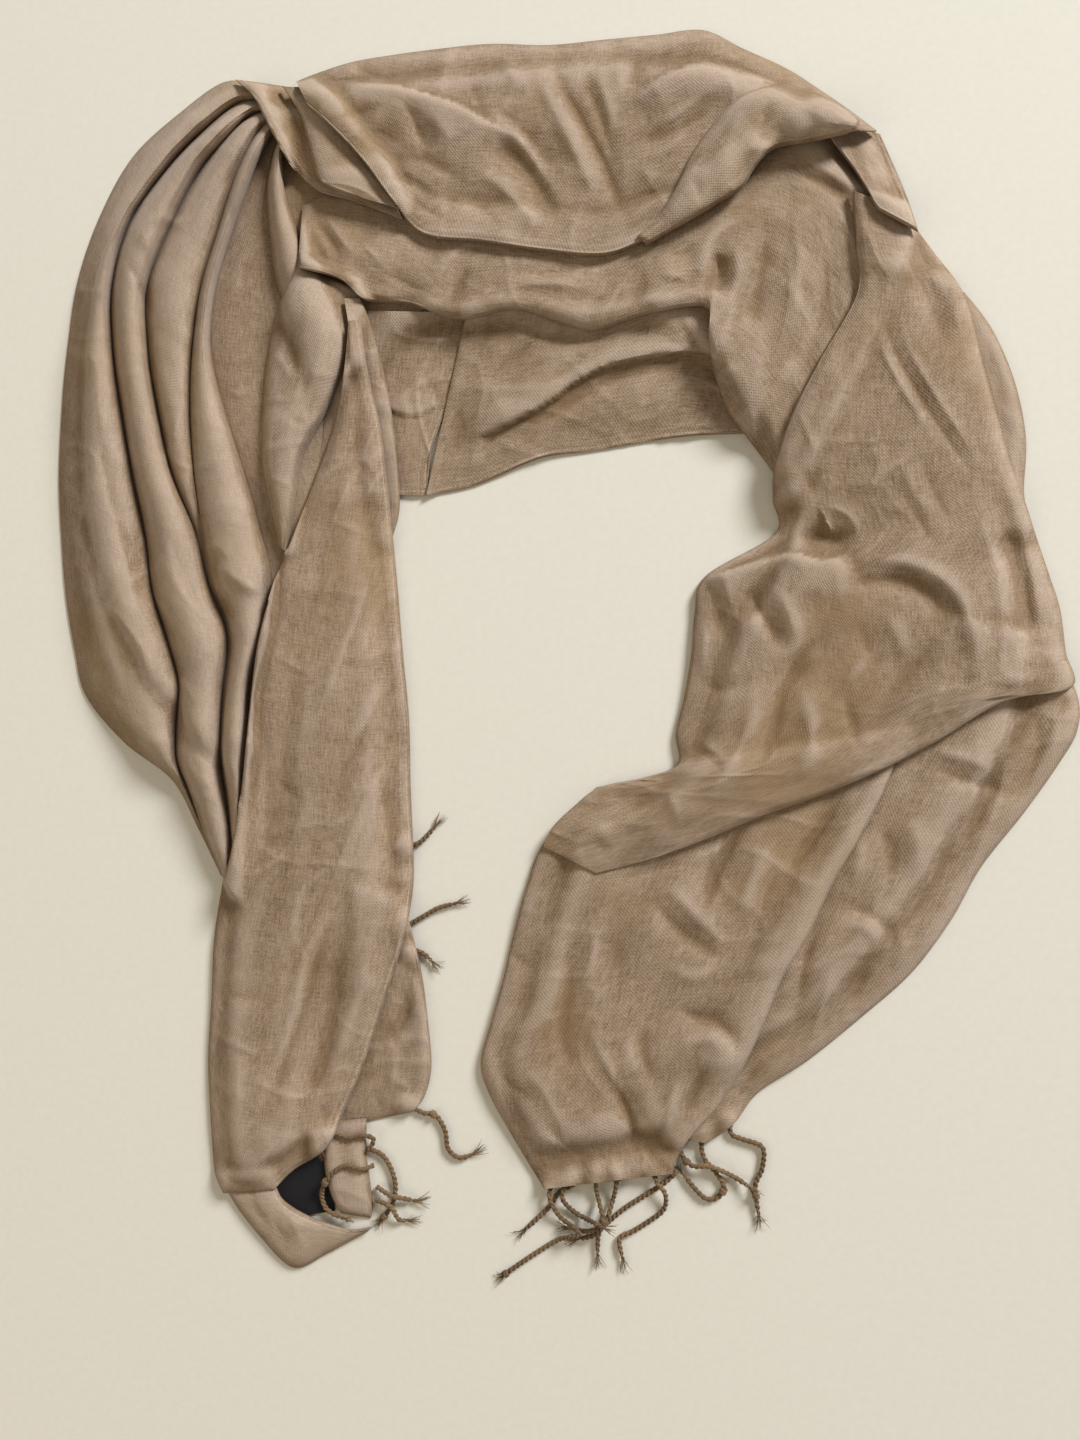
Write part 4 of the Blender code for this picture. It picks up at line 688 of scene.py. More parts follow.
FRINGES = {
    "left_end_fringe": Fringe(
        [
            [(-107, -263), (-98, -266), (-92, -274), (-89, -285), (-91, -296), (-98, -306)],
            [(-101, -286), (-92, -291), (-84, -292), (-76, -293)],
            [(-102, -294), (-92, -298), (-87, -305), (-81, -305)],
            [
                (-103, -273), (-111, -276), (-120, -274), (-130, -280),
                (-136, -291), (-133, -302), (-122, -307),
            ],
            [
                (-106, -264), (-103, -257), (-110, -255), (-118, -257),
                (-127, -255), (-136, -257), (-137, -264),
            ],
        ],
        [(0, 0.93), (3, 0.55), (4, 0.9)],
    ),
    "left_edge_fringe": Fringe(
        [
            [(-82, -234), (-72, -239), (-64, -240), (-58, -249), (-56, -260), (-49, -265), (-40, -262)],
        ],
        [(0, 0.3)],
    ),
    "left_side_fringe_upper": Fringe(
        [[(-84, -77), (-75, -75), (-69, -70), (-64, -64)]],
        [],
    ),
    "left_side_fringe_lower": Fringe(
        [
            [(-83, -126), (-71, -119), (-62, -114), (-51, -111)],
            [(-80, -140), (-74, -141), (-69, -144), (-66, -147)],
        ],
        [],
    ),
    "right_end_fringe": Fringe(
        [
            [(74, -259), (80, -266), (72, -274), (62, -281), (52, -288), (43, -296), (36, -304), (35, -318)],
            [(66, -260), (70, -272), (75, -279), (74, -288), (66, -295), (56, -302), (48, -307), (50, -319)],
            [(58, -262), (54, -269), (44, -272), (32, -272), (20, -277), (11, -283), (6, -291), (-9, -306)],
            [(46, -264), (46, -276), (43, -288), (40, -297), (33, -306), (22, -309)],
            [(34, -266), (34, -277), (36, -287), (38, -298), (30, -304), (18, -303)],
            [(22, -268), (15, -279), (14, -286), (21, -293), (31, -298), (38, -301)],
            [(10, -271), (6, -284), (12, -296), (24, -306), (12, -310), (1, -317), (-10, -325), (-22, -334)],
        ],
        [(0, 0.12), (1, 0.10), (3, 0.62), (4, 0.58), (6, 0.97)],
    ),
    "right_back_fringe": Fringe(
        [
            [(113, -232), (113, -241), (120, -244), (131, -248), (131, -260), (127, -271), (129, -288)],
            [
                (97, -239), (96, -249), (98, -257), (104, -264),
                (109, -272), (105, -279), (97, -279), (85, -266),
            ],
            [(92, -241), (84, -252), (90, -261), (100, -261), (110, -264), (118, -268), (124, -272)],
        ],
        [(0, 0.82), (1, 0.55), (2, 0.35)],
    ),
}
LAID_ON_THE_TONGUE = ["left_end_fringe"]

# The finishes
TAUPE_LIGHT = (0.50, 0.378, 0.272, 1)
TAUPE_DARK = (0.16, 0.098, 0.050, 1)
# a painted highlight on the cloth's crests
PAINTED_CREST_HIGHLIGHT = (0.55, 0.45, 0.37, 1)
# painted shade in the cloth's hollows
PAINTED_HOLLOW_SHADE = (0.17, 0.10, 0.038, 1)
WARM_CAST = (0.29, 0.188, 0.085, 1)
SELVEDGE = (0.56, 0.46, 0.36, 1)
SELVEDGE_LINES = (2.2, 6.2)  # how far in the two lines of denser threads lie, in millimetres
YARN_DARK = (0.055, 0.029, 0.012, 1)
YARN_LIGHT = (0.29, 0.19, 0.10, 1)
TAPE_DARK = (0.008, 0.008, 0.01, 1)
TAPE_LIGHT = (0.022, 0.022, 0.026, 1)
TAPE_RIB = 0.0009  # from rib to rib, in metres
FLOOR_DARK = (0.76, 0.735, 0.645, 1)
FLOOR_LIGHT = (0.82, 0.795, 0.705, 1)
THREADS = 1050.0  # threads for each metre
FLOAT = 120.0  # thick places along a thread, for each metre
STREAKS = 75.0  # broader bands of thread, for each metre
FLECKS = 800.0  # flecks of other fibre, for each metre
TAPE_SPECKS = 1500.0  # specks on the tape, for each metre

# The stage, in metres
FLOOR_SIZE = 8
FLOOR_DROP = 0.0005  # how far the floor lies below the part
SENSOR = 36
LENS = 28
LAMPS = [
    Lamp("window", (3.4, 3.6, 2.6), (0.0, 0.02, 0), 1.7, 400, (0.96, 0.97, 1.0)),
    Lamp("room", (-1.4, -1.0, 1.6), (0, 0, 0), 1.8, 10, (1.0, 0.84, 0.62)),
]
ROOM_COLOUR = (1.0, 0.92, 0.78, 1)
ROOM_STRENGTH = 0.285


# Shader maths


class Value:
    """A shader socket that Python's operators work on."""

    def __init__(self, finish, socket):
        self.finish, self.socket = finish, socket

    def math(self, operation, *others):
        return self.finish.node("ShaderNodeMath", {"operation": operation}, dict(enumerate((self, *others))))

    def __add__(self, other):
        return self.math("ADD", other)

    def __sub__(self, other):
        return self.math("SUBTRACT", other)

    def __rsub__(self, other):
        return self.finish.node("ShaderNodeMath", {"operation": "SUBTRACT"}, {0: other, 1: self})

    def __mul__(self, other):
        return self.math("MULTIPLY", other)

    def __truediv__(self, other):
        return self.math("DIVIDE", other)

    __radd__, __rmul__ = __add__, __mul__

    def sine(self):
        return self.math("SINE")

    def size(self):
        return self.math("ABSOLUTE")

    def clamped(self):
        return self.math("MAXIMUM", 0.0).math("MINIMUM", 1.0)

    def within(self, low, high):
        """0 at low, 1 at high, and smooth between."""
        inputs = {"Value": self, "From Min": low, "From Max": high}
        return self.finish.node("ShaderNodeMapRange", {"interpolation_type": "SMOOTHSTEP"}, inputs)


class Finish:
    """One material, whose nodes are made by calling node()."""

    def __init__(self, name, **sockets):
        self.material = bpy.data.materials.new(name)
        self.material.use_nodes = True
        self.tree = self.material.node_tree
        self.shader = self.tree.nodes["Principled BSDF"]
        for socket, value in sockets.items():
            self.shader.inputs[socket.replace("_", " ")].default_value = value

    def node(self, kind, settings=None, inputs=None, output=0):
        made = self.tree.nodes.new(kind)
        for key, value in (settings or {}).items():
            setattr(made, key, value)
        for key, value in (inputs or {}).items():
            if isinstance(value, Value):
                self.tree.links.new(value.socket, made.inputs[key])
            else:
                made.inputs[key].default_value = value
        return Value(self, made.outputs[output])

    def weave(self):
        """How far across and along its cloth or yarn a point lies, in metres."""
        place = self.node("ShaderNodeUVMap", {"uv_map": "weave"})
        across = self.node("ShaderNodeSeparateXYZ", None, {0: place})
        return across, Value(self, across.socket.node.outputs[1])

    def place(self):
        """Where a point lies on the part, in metres."""
        return self.node("ShaderNodeTexCoord", None, None, 3)

    def mark(self, name):
        """A value that the mesh holds at each of its points."""
        return self.node("ShaderNodeAttribute", {"attribute_name": name}, None, 2)

    def vector(self, x, y, z=0.0):
        return self.node("ShaderNodeCombineXYZ", None, {"X": x, "Y": y, "Z": z})

    def noise(self, place, scale, detail=2.0, rough=0.5):
        inputs = {"Vector": place, "Scale": scale, "Detail": detail, "Roughness": rough}
        return self.node("ShaderNodeTexNoise", None, inputs)

    def mixed(self, share, first, second):
        inputs = {"Factor": share, 6: first, 7: second}
        return self.node("ShaderNodeMix", {"data_type": "RGBA"}, inputs, 2)

    def link(self, name, value):
        self.tree.links.new(value.socket, self.shader.inputs[name])

    def bump(self, height, strength, distance):
        inputs = {"Height": height, "Strength": strength, "Distance": distance}
        self.link("Normal", self.node("ShaderNodeBump", None, inputs))


def woven_taupe():
    """Heathered plain weave: uneven threads both ways, slubs, a painted highlight on crests and painted shade
    in hollows.
    """
    sheen = {"Sheen_Weight": 0.14, "Sheen_Roughness": 0.5, "Sheen_Tint": (0.95, 0.93, 0.94, 1)}
    finish = Finish("woven_taupe", Roughness=0.88, Specular_IOR_Level=0.14, **sheen)
    across, along = finish.weave()
    warp = finish.noise(finish.vector(across * THREADS, along * FLOAT), 1.0, 3.0, 0.62)
    weft = finish.noise(finish.vector(across * FLOAT, along * THREADS), 1.0, 3.0, 0.62)
    fleck = finish.noise(finish.vector(across * FLECKS, along * FLECKS, 4.0), 1.0, 2.0, 0.7)
    streak = finish.noise(finish.vector(across * STREAKS, along * 7.0, 9.0), 1.0, 3.0, 0.65)
    band = finish.noise(finish.vector(across * 9.0, along * STREAKS, 15.0), 1.0, 3.0, 0.65)
    patch = finish.noise(finish.place(), 24.0, 4.0, 0.6)
    cast = finish.noise(finish.place(), 9.0, 3.0, 0.6)
    # The crest mark paints light and shade: the cloth is painted lighter and paler on its crests (painted
    # highlight) and browner and darker in its hollows (painted shade).
    crest = finish.mark("crest")
    threads = (warp - 0.5) * 1.15 + (weft - 0.5) * 0.85 + (fleck - 0.5) * 0.6
    tone = threads + (streak - 0.5) * 0.6 + (band - 0.5) * 0.4 + (patch - 0.5) * 0.55 + crest * 0.08 + 0.5
    colour = finish.mixed(tone.clamped(), TAUPE_DARK, TAUPE_LIGHT)
    colour = finish.mixed(cast.within(0.5, 0.68) * 0.45, colour, WARM_CAST)
    colour = finish.mixed(crest.within(0.05, 1.0) * 0.35, colour, PAINTED_CREST_HIGHLIGHT)
    colour = finish.mixed((crest * -1.0).within(0.15, 1.0) * 0.42, colour, PAINTED_HOLLOW_SHADE)
    edge = finish.mark("hem")
    line = 1 - (edge - SELVEDGE_LINES[0]).size().within(0.2, 0.75)
    second = 1 - (edge - SELVEDGE_LINES[1]).size().within(0.2, 0.6)
    seam = (line * 0.55 + second * 0.3) * fleck.within(0.4, 0.56)
    finish.link("Base Color", finish.mixed(seam.clamped(), colour, SELVEDGE))
    weave = (across * THREADS * math.pi).sine() * (along * THREADS * math.pi).sine()
    finish.bump(weave * 0.3 + warp * 0.7 + weft * 0.6 + fleck * 0.6, 0.55, 0.0005)
    return finish.material


def twisted_yarn():
    """The fringe's yarn: darker than the cloth, with fine fibres along each ply."""
    sheen = {"Sheen_Weight": 0.15, "Sheen_Roughness": 0.5}
    finish = Finish("twisted_yarn", Roughness=0.9, Specular_IOR_Level=0.15, **sheen)
    around, along = finish.weave()
    fibres = finish.noise(finish.vector(around * 2600.0, along * 260.0), 1.0, 3.0, 0.65)
    broad = finish.noise(finish.place(), 60.0, 2.0, 0.5)
    tone = (fibres - 0.5) * 1.6 + (broad - 0.5) * 0.8 + 0.5
    finish.link("Base Color", finish.mixed(tone.clamped(), YARN_DARK, YARN_LIGHT))
    finish.bump(fibres, 0.6, 0.0003)
    return finish.material


def black_tape():
    """The bare label: a close black tape with a fine rib."""
    finish = Finish("black_tape", Roughness=0.75, Specular_IOR_Level=0.2)
    across, along = finish.weave()
    rib = (along * 2.0 * math.pi / TAPE_RIB).sine()
    speck = finish.noise(finish.vector(across * TAPE_SPECKS, along * TAPE_SPECKS), 1.0)
    finish.link("Base Color", finish.mixed(speck, TAPE_DARK, TAPE_LIGHT))
    finish.bump(rib, 0.3, 0.0002)
    return finish.material


def pale_floor():
    finish = Finish("pale_floor", Roughness=0.8)
    grain = finish.noise(finish.place(), 260.0, 2.0)
    finish.link("Base Color", finish.mixed(grain, FLOOR_DARK, FLOOR_LIGHT))
    return finish.material


# The heap of cloth


def windowed(values, reach, pick):
    """What pick takes from each cell and those up to reach cells away."""
    for axis in (0, 1):
        result = values
        for step in range(1, reach + 1):
            result = pick(result, pick(np.roll(values, step, axis), np.roll(values, -step, axis)))
        values = result
    return values


def averaged(values, reach):
    """The mean of each cell and those up to reach cells away."""
    for axis in (0, 1):
        total = values.copy()
        for step in range(1, reach + 1):
            total += np.roll(values, step, axis) + np.roll(values, -step, axis)
        values = total / (2 * reach + 1)
    return values


def blend(values, places):
    """A smooth curve through the rows of values, at places counted in rows."""
    values = np.asarray(values, float)
    last = len(values) - 1
    row = np.clip(np.floor(places).astype(int), 0, last - 1)
    t = (places - row)[:, None]
    before = values[np.maximum(row - 1, 0)]
    start, end = values[row], values[row + 1]
    after = values[np.minimum(row + 2, last)]
    out, into = (end - before) / 2, (after - start) / 2
    return (
        (2 * t**3 - 3 * t**2 + 1) * start
        + (t**3 - 2 * t**2 + t) * out
        + (3 * t**2 - 2 * t**3) * end
        + (t**3 - t**2) * into
    )


def run_along(path):
    """How far along a path each of its points lies."""
    return np.concatenate([[0], np.cumsum(np.linalg.norm(np.diff(path, axis=0), axis=1))])


def even_places(points, step):
    """Places along a table's rows, about step mm apart along the points."""
    fine = np.linspace(0, len(points) - 1, ROW_SAMPLES * len(points))
    run = run_along(blend(points, fine))
    count = max(2, round(run[-1] / step)) + 1
    return np.interp(np.linspace(0, run[-1], count), run, fine)


def rounded(distance, radius):
    """The profile of a roll: 0 at the edge, 1 from radius on."""
    t = np.clip(distance / np.maximum(radius, 1e-6), 0, 1)
    return np.sqrt(1 - (1 - t) ** 2)


def to_line(x, y, points):
    """The distance to a polyline, the side of it, and the way along it from the nearer end."""
    points = np.asarray(points, float)
    points = blend(points, np.linspace(0, len(points) - 1, CREASE_SAMPLES * len(points)))
    best = np.full(x.shape, 1e9)
    side = np.ones(x.shape)
    along = np.zeros(x.shape)
    run = 0.0
    total = np.linalg.norm(np.diff(points, axis=0), axis=1).sum()
    for (ax, ay), (bx, by) in zip(points[:-1], points[1:]):
        length = math.hypot(bx - ax, by - ay)
        t = np.clip(((x - ax) * (bx - ax) + (y - ay) * (by - ay)) / length**2, 0, 1)
        distance = np.hypot(x - ax - t * (bx - ax), y - ay - t * (by - ay))
        near = distance < best
        best = np.where(near, distance, best)
        side = np.where(near, np.sign((bx - ax) * (y - ay) - (by - ay) * (x - ax)), side)
        along = np.where(near, run + t * length, along)
        run += length
    return best, side, np.minimum(along, total - along)


def relief(x, y, creases, steps):
    """How much the creases raise the cloth at each point, and the layers that lie over it."""
    height = np.zeros(x.shape)
    for crease in creases:
        distance, side, from_end = to_line(x, y, crease.points)
        length = np.linalg.norm(np.diff(np.array(crease.points, float), axis=0), axis=1).sum()
        fade = np.clip(from_end / max(crease.fade, TAPER * length), 0, 1)
        fade = fade * fade * (3 - 2 * fade)
        across = (distance / (crease.half_width * SKIRT * (1 + LEAN * side))) ** PEAK
        share = np.clip(crease.half_width / FULL_HEIGHT_WIDTH, LEAST_HEIGHT, 1) * CREASE_HEIGHT
        height += crease.height * share * np.exp(-across) * fade
    for step in steps:
        distance, side, from_end = to_line(x, y, step.points)
        fade = np.clip(from_end / step.fade, 0, 1)
        over = rounded(distance, step.roll) * np.exp(-((distance / step.reach) ** 2))
        height += np.where(side > 0, step.height * over * fade, 0)
    return height


def drawn_in(x, y, z):
    """The true place of a point seen at x, y that lies z mm up."""
    share = z / EYE[2]
    return x + (EYE[0] - x) * share, y + (EYE[1] - y) * share


def between(grid, i, j, next_i, next_j, s, t):
    """The grid's value s of the way from i to next_i and t of the way from j to next_j."""
    near = grid[i, j] * (1 - s) + grid[next_i, j] * s
    far = grid[i, next_j] * (1 - s) + grid[next_i, next_j] * s
    return near * (1 - t) + far * t


def smooth_noise(x, y, seed):
    """Soft random hills about 1 apart, from -1 to 1."""
    cells = 64
    grid = np.random.default_rng(seed).uniform(-1, 1, (cells, cells))
    i, j = np.floor(x).astype(int), np.floor(y).astype(int)
    s, t = x - i, y - j
    s, t = s * s * (3 - 2 * s), t * t * (3 - 2 * t)
    return between(grid, i % cells, j % cells, (i + 1) % cells, (j + 1) % cells, s, t)


class Heap:
    """The height of everything laid so far, on a grid of square cells."""

    def __init__(self):
        self.size = (int((PLAN[2] - PLAN[0]) / CELL), int((PLAN[3] - PLAN[1]) / CELL))
        self.top = np.zeros(self.size)
        self.soft = self.top

    def cells(self, x, y):
        """The cell that each place lies in."""
        i = np.clip(np.round((x - PLAN[0]) / CELL).astype(int), 0, self.size[0] - 1)
        j = np.clip(np.round((y - PLAN[1]) / CELL).astype(int), 0, self.size[1] - 1)
        return i, j

    def soften(self):
        """Works out the soft form that cloth takes when it is laid on the heap."""
        wide = windowed(self.top, round(DRAPE_REACH / CELL), np.maximum)
        for _ in range(3):
            wide = averaged(wide, round(DRAPE_SOFTNESS / CELL / 2))
        self.soft = np.maximum(wide, self.top)

    def draped(self, x, y):
        """The height of that soft form at each place."""
        fx = np.clip((x - PLAN[0]) / CELL, 0, self.size[0] - 1.001)
        fy = np.clip((y - PLAN[1]) / CELL, 0, self.size[1] - 1.001)
        i, j = fx.astype(int), fy.astype(int)
        return between(self.soft, i, j, i + 1, j + 1, fx - i, fy - j)

    def add(self, points, faces):
        """Raises the heap to the facets."""
        samples, _ = facet_samples(points, faces)
        i, j = self.cells(samples[..., 0], samples[..., 1])
        np.maximum.at(self.top, (i, j), samples[..., 2])

    def clear_of(self, points, faces):
        """The points, lifted until their facets pass GAP above all that is laid."""
        need = windowed(self.top, 1, np.maximum)
        need = np.where(need > 0, need + GAP, 0)
        samples, weights = facet_samples(points, faces)
        i, j = self.cells(samples[..., 0], samples[..., 1])
        short = np.maximum(need[i, j] - samples[..., 2], 0)
        raised = short[..., None] * weights / (weights**2).sum(axis=1, keepdims=True)
        lift = np.zeros(len(points))
        np.maximum.at(lift, faces.ravel(), raised.max(axis=1).ravel())
        points = points.copy()
        points[:, 2] += lift
        return points


def facet_samples(points, faces):
    """Points all over each triangle, no further apart than SAMPLING cells, with their weights."""
    corners = points[faces]
    longest = np.linalg.norm((corners - np.roll(corners, 1, axis=1))[..., :2], axis=2).max()
    count = int(math.ceil(longest / (CELL * SAMPLING)))
    first, second = np.meshgrid(np.arange(count + 1), np.arange(count + 1), indexing="ij")
    inside = first + second <= count
    first, second = first[inside] / count, second[inside] / count
    weights = np.stack([first, second, 1 - first - second], axis=1)
    return np.einsum("sw,fwc->fsc", weights, corners), weights


def grid_faces(rows, columns):
    """Two triangles for each square of a grid of points."""
    index = np.arange(rows * columns).reshape(rows, columns)
    a, b = index[:-1, :-1].ravel(), index[:-1, 1:].ravel()
    c, d = index[1:, 1:].ravel(), index[1:, :-1].ravel()
    return np.concatenate([np.stack([a, b, c], axis=1), np.stack([a, c, d], axis=1)])


def shell_faces(rows, columns):
    """A closed skin over a lower grid and an upper one, whose points follow the lower one's."""
    lower = grid_faces(rows, columns)
    upper = lower[:, ::-1] + rows * columns
    index = np.arange(rows * columns).reshape(rows, columns)
    ring = np.concatenate([index[0, :-1], index[:-1, -1], index[-1, :0:-1], index[:0:-1, 0]])
    after = np.roll(ring, -1)
    above = rows * columns
    first = np.stack([ring, after + above, after], axis=1)
    second = np.stack([ring, ring + above, after + above], axis=1)
    return np.concatenate([lower, upper, first, second])


def piece(name, points, faces, finish, weave, **marks):
    """A mesh object of the points, which are in millimetres of the plan."""
    corners = points[faces]
    volume = np.einsum("fi,fi->f", corners[:, 0], np.cross(corners[:, 1], corners[:, 2])).sum()
    if volume < 0:
        faces = faces[:, ::-1]
    placed = (points - np.array([*ORIGIN, 0])) * MM
    mesh = bpy.data.meshes.new(name)
    mesh.vertices.add(len(placed))
    mesh.vertices.foreach_set("co", placed.ravel())
    mesh.loops.add(faces.size)
    mesh.loops.foreach_set("vertex_index", faces.ravel().astype(np.int32))
    mesh.polygons.add(len(faces))
    mesh.polygons.foreach_set("loop_start", np.arange(0, faces.size, 3, dtype=np.int32))
    mesh.update(calc_edges=True)
    layer = mesh.uv_layers.new(name="weave")
    layer.data.foreach_set("uv", weave[faces].ravel())
    for mark, values in marks.items():
        layer = mesh.attributes.new(mark, "FLOAT", "POINT")
        layer.data.foreach_set("value", values)
    mesh.materials.append(finish)
    mesh.validate()
    mesh.shade_smooth()
    mesh.set_sharp_from_angle(angle=SHARP_EDGE)
    made = bpy.data.objects.new(name, mesh)
    bpy.context.scene.collection.objects.link(made)
    return made


def dress(made, node):
    """Puts a piece in the place of its node, on the part's one body."""
    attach(made, "root")
    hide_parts(node)


def lengths(grid, axis):
    """How far along the cloth each point lies, in metres."""
    run = np.cumsum(np.linalg.norm(np.diff(grid, axis=axis), axis=2), axis=axis) * MM
    pad = np.zeros((1, grid.shape[1]) if axis == 0 else (grid.shape[0], 1))
    return np.concatenate([pad, run], axis=axis)


def crests(z):
    """1 on the top of a ridge and -1 at the bottom of a trough, against the cloth about it."""
    mark = 0.0
    for reach, share in ((2, 0.35), (4, 0.35), (10, 0.3)):
        wide = averaged(averaged(np.pad(z, 2 * reach, mode="edge"), reach), reach)
        inner = slice(2 * reach, -2 * reach)
        mark = mark + share * (z - wide[inner, inner]) / (0.16 * reach + 0.35)
    return np.clip(mark, -1, 1)


def lay(heap, name, seen_x, seen_y, rise, finish, hem):
    """A wall of cloth over the grid of seen points, rise mm above what it is draped on."""
    x, y = seen_x, seen_y
    for _ in range(3):
        z = heap.draped(x, y)
        z = np.where(z > LAID_ON, z + GAP, z) + rise
        x, y = drawn_in(seen_x, seen_y, z)
    rows, columns = x.shape
    lower = np.stack([x.ravel(), y.ravel(), np.maximum(z, 0).ravel()], axis=1)
    faces = grid_faces(rows, columns)
    lower = heap.clear_of(lower, faces)
    grid = lower.reshape(rows, columns, 3)
    upper = lower + [0, 0, 1] * wall_height(grid).reshape(-1, 1)
    heap.add(upper, faces)
    heap.soften()
    across, along = lengths(grid, 1), lengths(grid, 0)
    width, length = float(across[:, -1].max()), float(along[-1].max())
    across = across - across[:, columns // 2][:, None]
    weave = np.stack([across, along], axis=2).reshape(-1, 2)
    # The crest mark, by which the cloth's finish paints a highlight on ridges and shade in hollows.
    crest = crests(grid[..., 2]).ravel()
    both = np.concatenate([lower, upper])
    made = piece(
        f"{name}_cloth",
        both,
        shell_faces(rows, columns),
        finish,
        np.concatenate([weave, weave]),
        hem=np.concatenate([hem.ravel(), hem.ravel()]),
        crest=np.concatenate([crest, crest]),
    )
    sides = np.diff(upper[faces], axis=1)
    area = float(np.linalg.norm(np.cross(sides[:, 0], sides[:, 1]), axis=1).sum()) / 2 * MM**2
    return Cloth(made, (width, length), min(area, width * length))


def wall_height(grid):
    """The wall's height at each point, so that it stays CLOTH thick where it is steep."""
    along = np.gradient(grid, axis=0)
    across = np.gradient(grid, axis=1)
    normal = np.cross(across, along)
    steep = np.linalg.norm(normal, axis=2) / np.maximum(np.abs(normal[..., 2]), 1e-6)
    return CLOTH * np.clip(steep, 1, STEEPEST)


def even_rows(table, step):
    """Rows about step mm apart through a table, their places counted in its rows, and their widths."""
    rows = np.array(table, float)
    places = even_places((rows[:, 0:2] + rows[:, 2:4]) / 2, step)
    at = blend(rows, places)
    return at, places, np.hypot(at[:, 2] - at[:, 0], at[:, 3] - at[:, 1])


def spread(at, u):
    """The places that lie u of the way across the rows, and how far along the stretch each row is."""
    x = at[:, 0:1] * (1 - u) + at[:, 2:3] * u
    y = at[:, 1:2] * (1 - u) + at[:, 3:4] * u
    middle = np.stack([x, y]).mean(axis=2)
    return x, y, np.concatenate([[0], np.cumsum(np.hypot(*np.diff(middle, axis=1)))])


def stretch(
    heap, name, table, finish, creases=(), steps=(), start_roll=0, end_roll=0, wrinkle=WRINKLE, selvedge=""
):
    """One stretch of cloth through its table of sections."""
    at, _, widths = even_rows(table, STEP)
    count = max(FEWEST_COLUMNS, round(widths.max() / STEP))
    u = np.linspace(0, 1, count + 1)
    u = (u - EDGE_FINENESS * np.sin(2 * math.pi * u) / (2 * math.pi))[None, :]
    x, y, run = spread(at, u)
    left, mid, right = at[:, 4:5], at[:, 5:6], at[:, 6:7]
    rise = left * (1 - u) * (1 - 2 * u) + mid * 4 * u * (1 - u) + right * u * (2 * u - 1)
    from_left, from_right = u * widths[:, None], (1 - u) * widths[:, None]
    seed = SEED + sum(map(ord, name))
    rise = rise + relief(x, y, creases, steps)
    rise = rise + wrinkles(from_left, run[:, None] + 0 * u, seed) * wrinkle
    rise = rise * rounded(from_left, ROLL * left)
    rise = rise * rounded(from_right, ROLL * right)
    for distance, roll in ((run, start_roll), (run[-1] - run, end_roll)):
        if roll:
            rise = rise * rounded(distance, roll)[:, None]
    hem = np.full(x.shape, FAR)
    sides = {"left": from_left, "right": from_right, "start": run[:, None], "end": (run[-1] - run)[:, None]}
    for side in selvedge.split():
        hem = np.minimum(hem, sides[side])
    return lay(heap, name, x, y, np.maximum(rise, 0), finish, hem)


def wrinkles(across, along, seed):
    """Small unevenness of cloth that has been handled: soft hills, and sparse sharp creases between them."""
    sway = 9 * smooth_noise(along / 60, across / 60, seed + 5)
    turn = 9 * smooth_noise(across / 40, along / 50, seed + 6)
    broad = smooth_noise((across + sway) / 24, (along + turn) / 52, seed)
    fine = smooth_noise((across + sway) / 10, (along + turn) / 26, seed + 1)
    cross = smooth_noise((across + turn) / 30, (along + sway) / 13, seed + 2)
    crease = (1 - np.abs(smooth_noise((across + 2 * sway) / 26, (along + turn) / 62, seed + 3))) ** 9
    fold = (1 - np.abs(smooth_noise((across + turn) / 48, (along + 2 * sway) / 30, seed + 4))) ** 10
    patch = np.clip(0.5 + smooth_noise(along / 45, across / 45, seed + 7), 0, 1)
    return broad * 1.0 + fine * 0.3 + cross * 0.4 + (crease * 1.1 + fold * 0.9) * patch


def gathers(heap, name, finish):
    """The pleated wall at the left: folds side by side, which fan out from where the cloth is bunched."""
    at, places, widths = even_rows(GATHERS, STEP)
    count = len(places)
    bounds = np.concatenate([np.zeros((count, 1)), at[:, 4:9], np.ones((count, 1))], axis=1)
    shares, rise = [], []
    for k, fold in enumerate(GATHER_FOLDS):
        grows = np.clip((places - fold.first_row) / (fold.full_row - fold.first_row), 0, 1)
        fades = np.clip((fold.last_row - places) / (fold.last_row - fold.fading_row), 0, 1)
        crest = fold.crest * (FIRST_CREST + (1 - FIRST_CREST) * grows) * fades
        floor = GATHER_FOLDS[k - 1].floor if k else 0.0
        widest = ((bounds[:, k + 1] - bounds[:, k]) * widths).max()
        columns = max(FOLD_COLUMNS, round(widest / STEP * FOLD_FINENESS))
        for s in (1 - np.cos(math.pi * np.arange(columns) / columns)) / 2:
            shares.append(bounds[:, k] * (1 - s) + bounds[:, k + 1] * s)
            base = floor * (1 - s) + fold.floor * s
            swell = math.sin(math.pi * s**fold.lean) ** FOLD_ROUNDNESS
            rise.append(base + np.maximum(crest - base, 0) * swell)
    shares.append(bounds[:, -1])
    rise.append(np.zeros(count))
    u = np.stack(shares, axis=1)
    x, y, run = spread(at, u)
    rise = np.stack(rise, axis=1)
    small = wrinkles(u * widths[:, None], run[:, None] + 0 * u, SEED) * GATHER_WRINKLE
    rise = rise + relief(x, y, GATHER_CREASES, ()) + small * np.clip(rise / WRINKLED_FROM, 0, 1)
    return lay(heap, name, x, y, np.maximum(rise, 0), finish, np.full(x.shape, FAR))


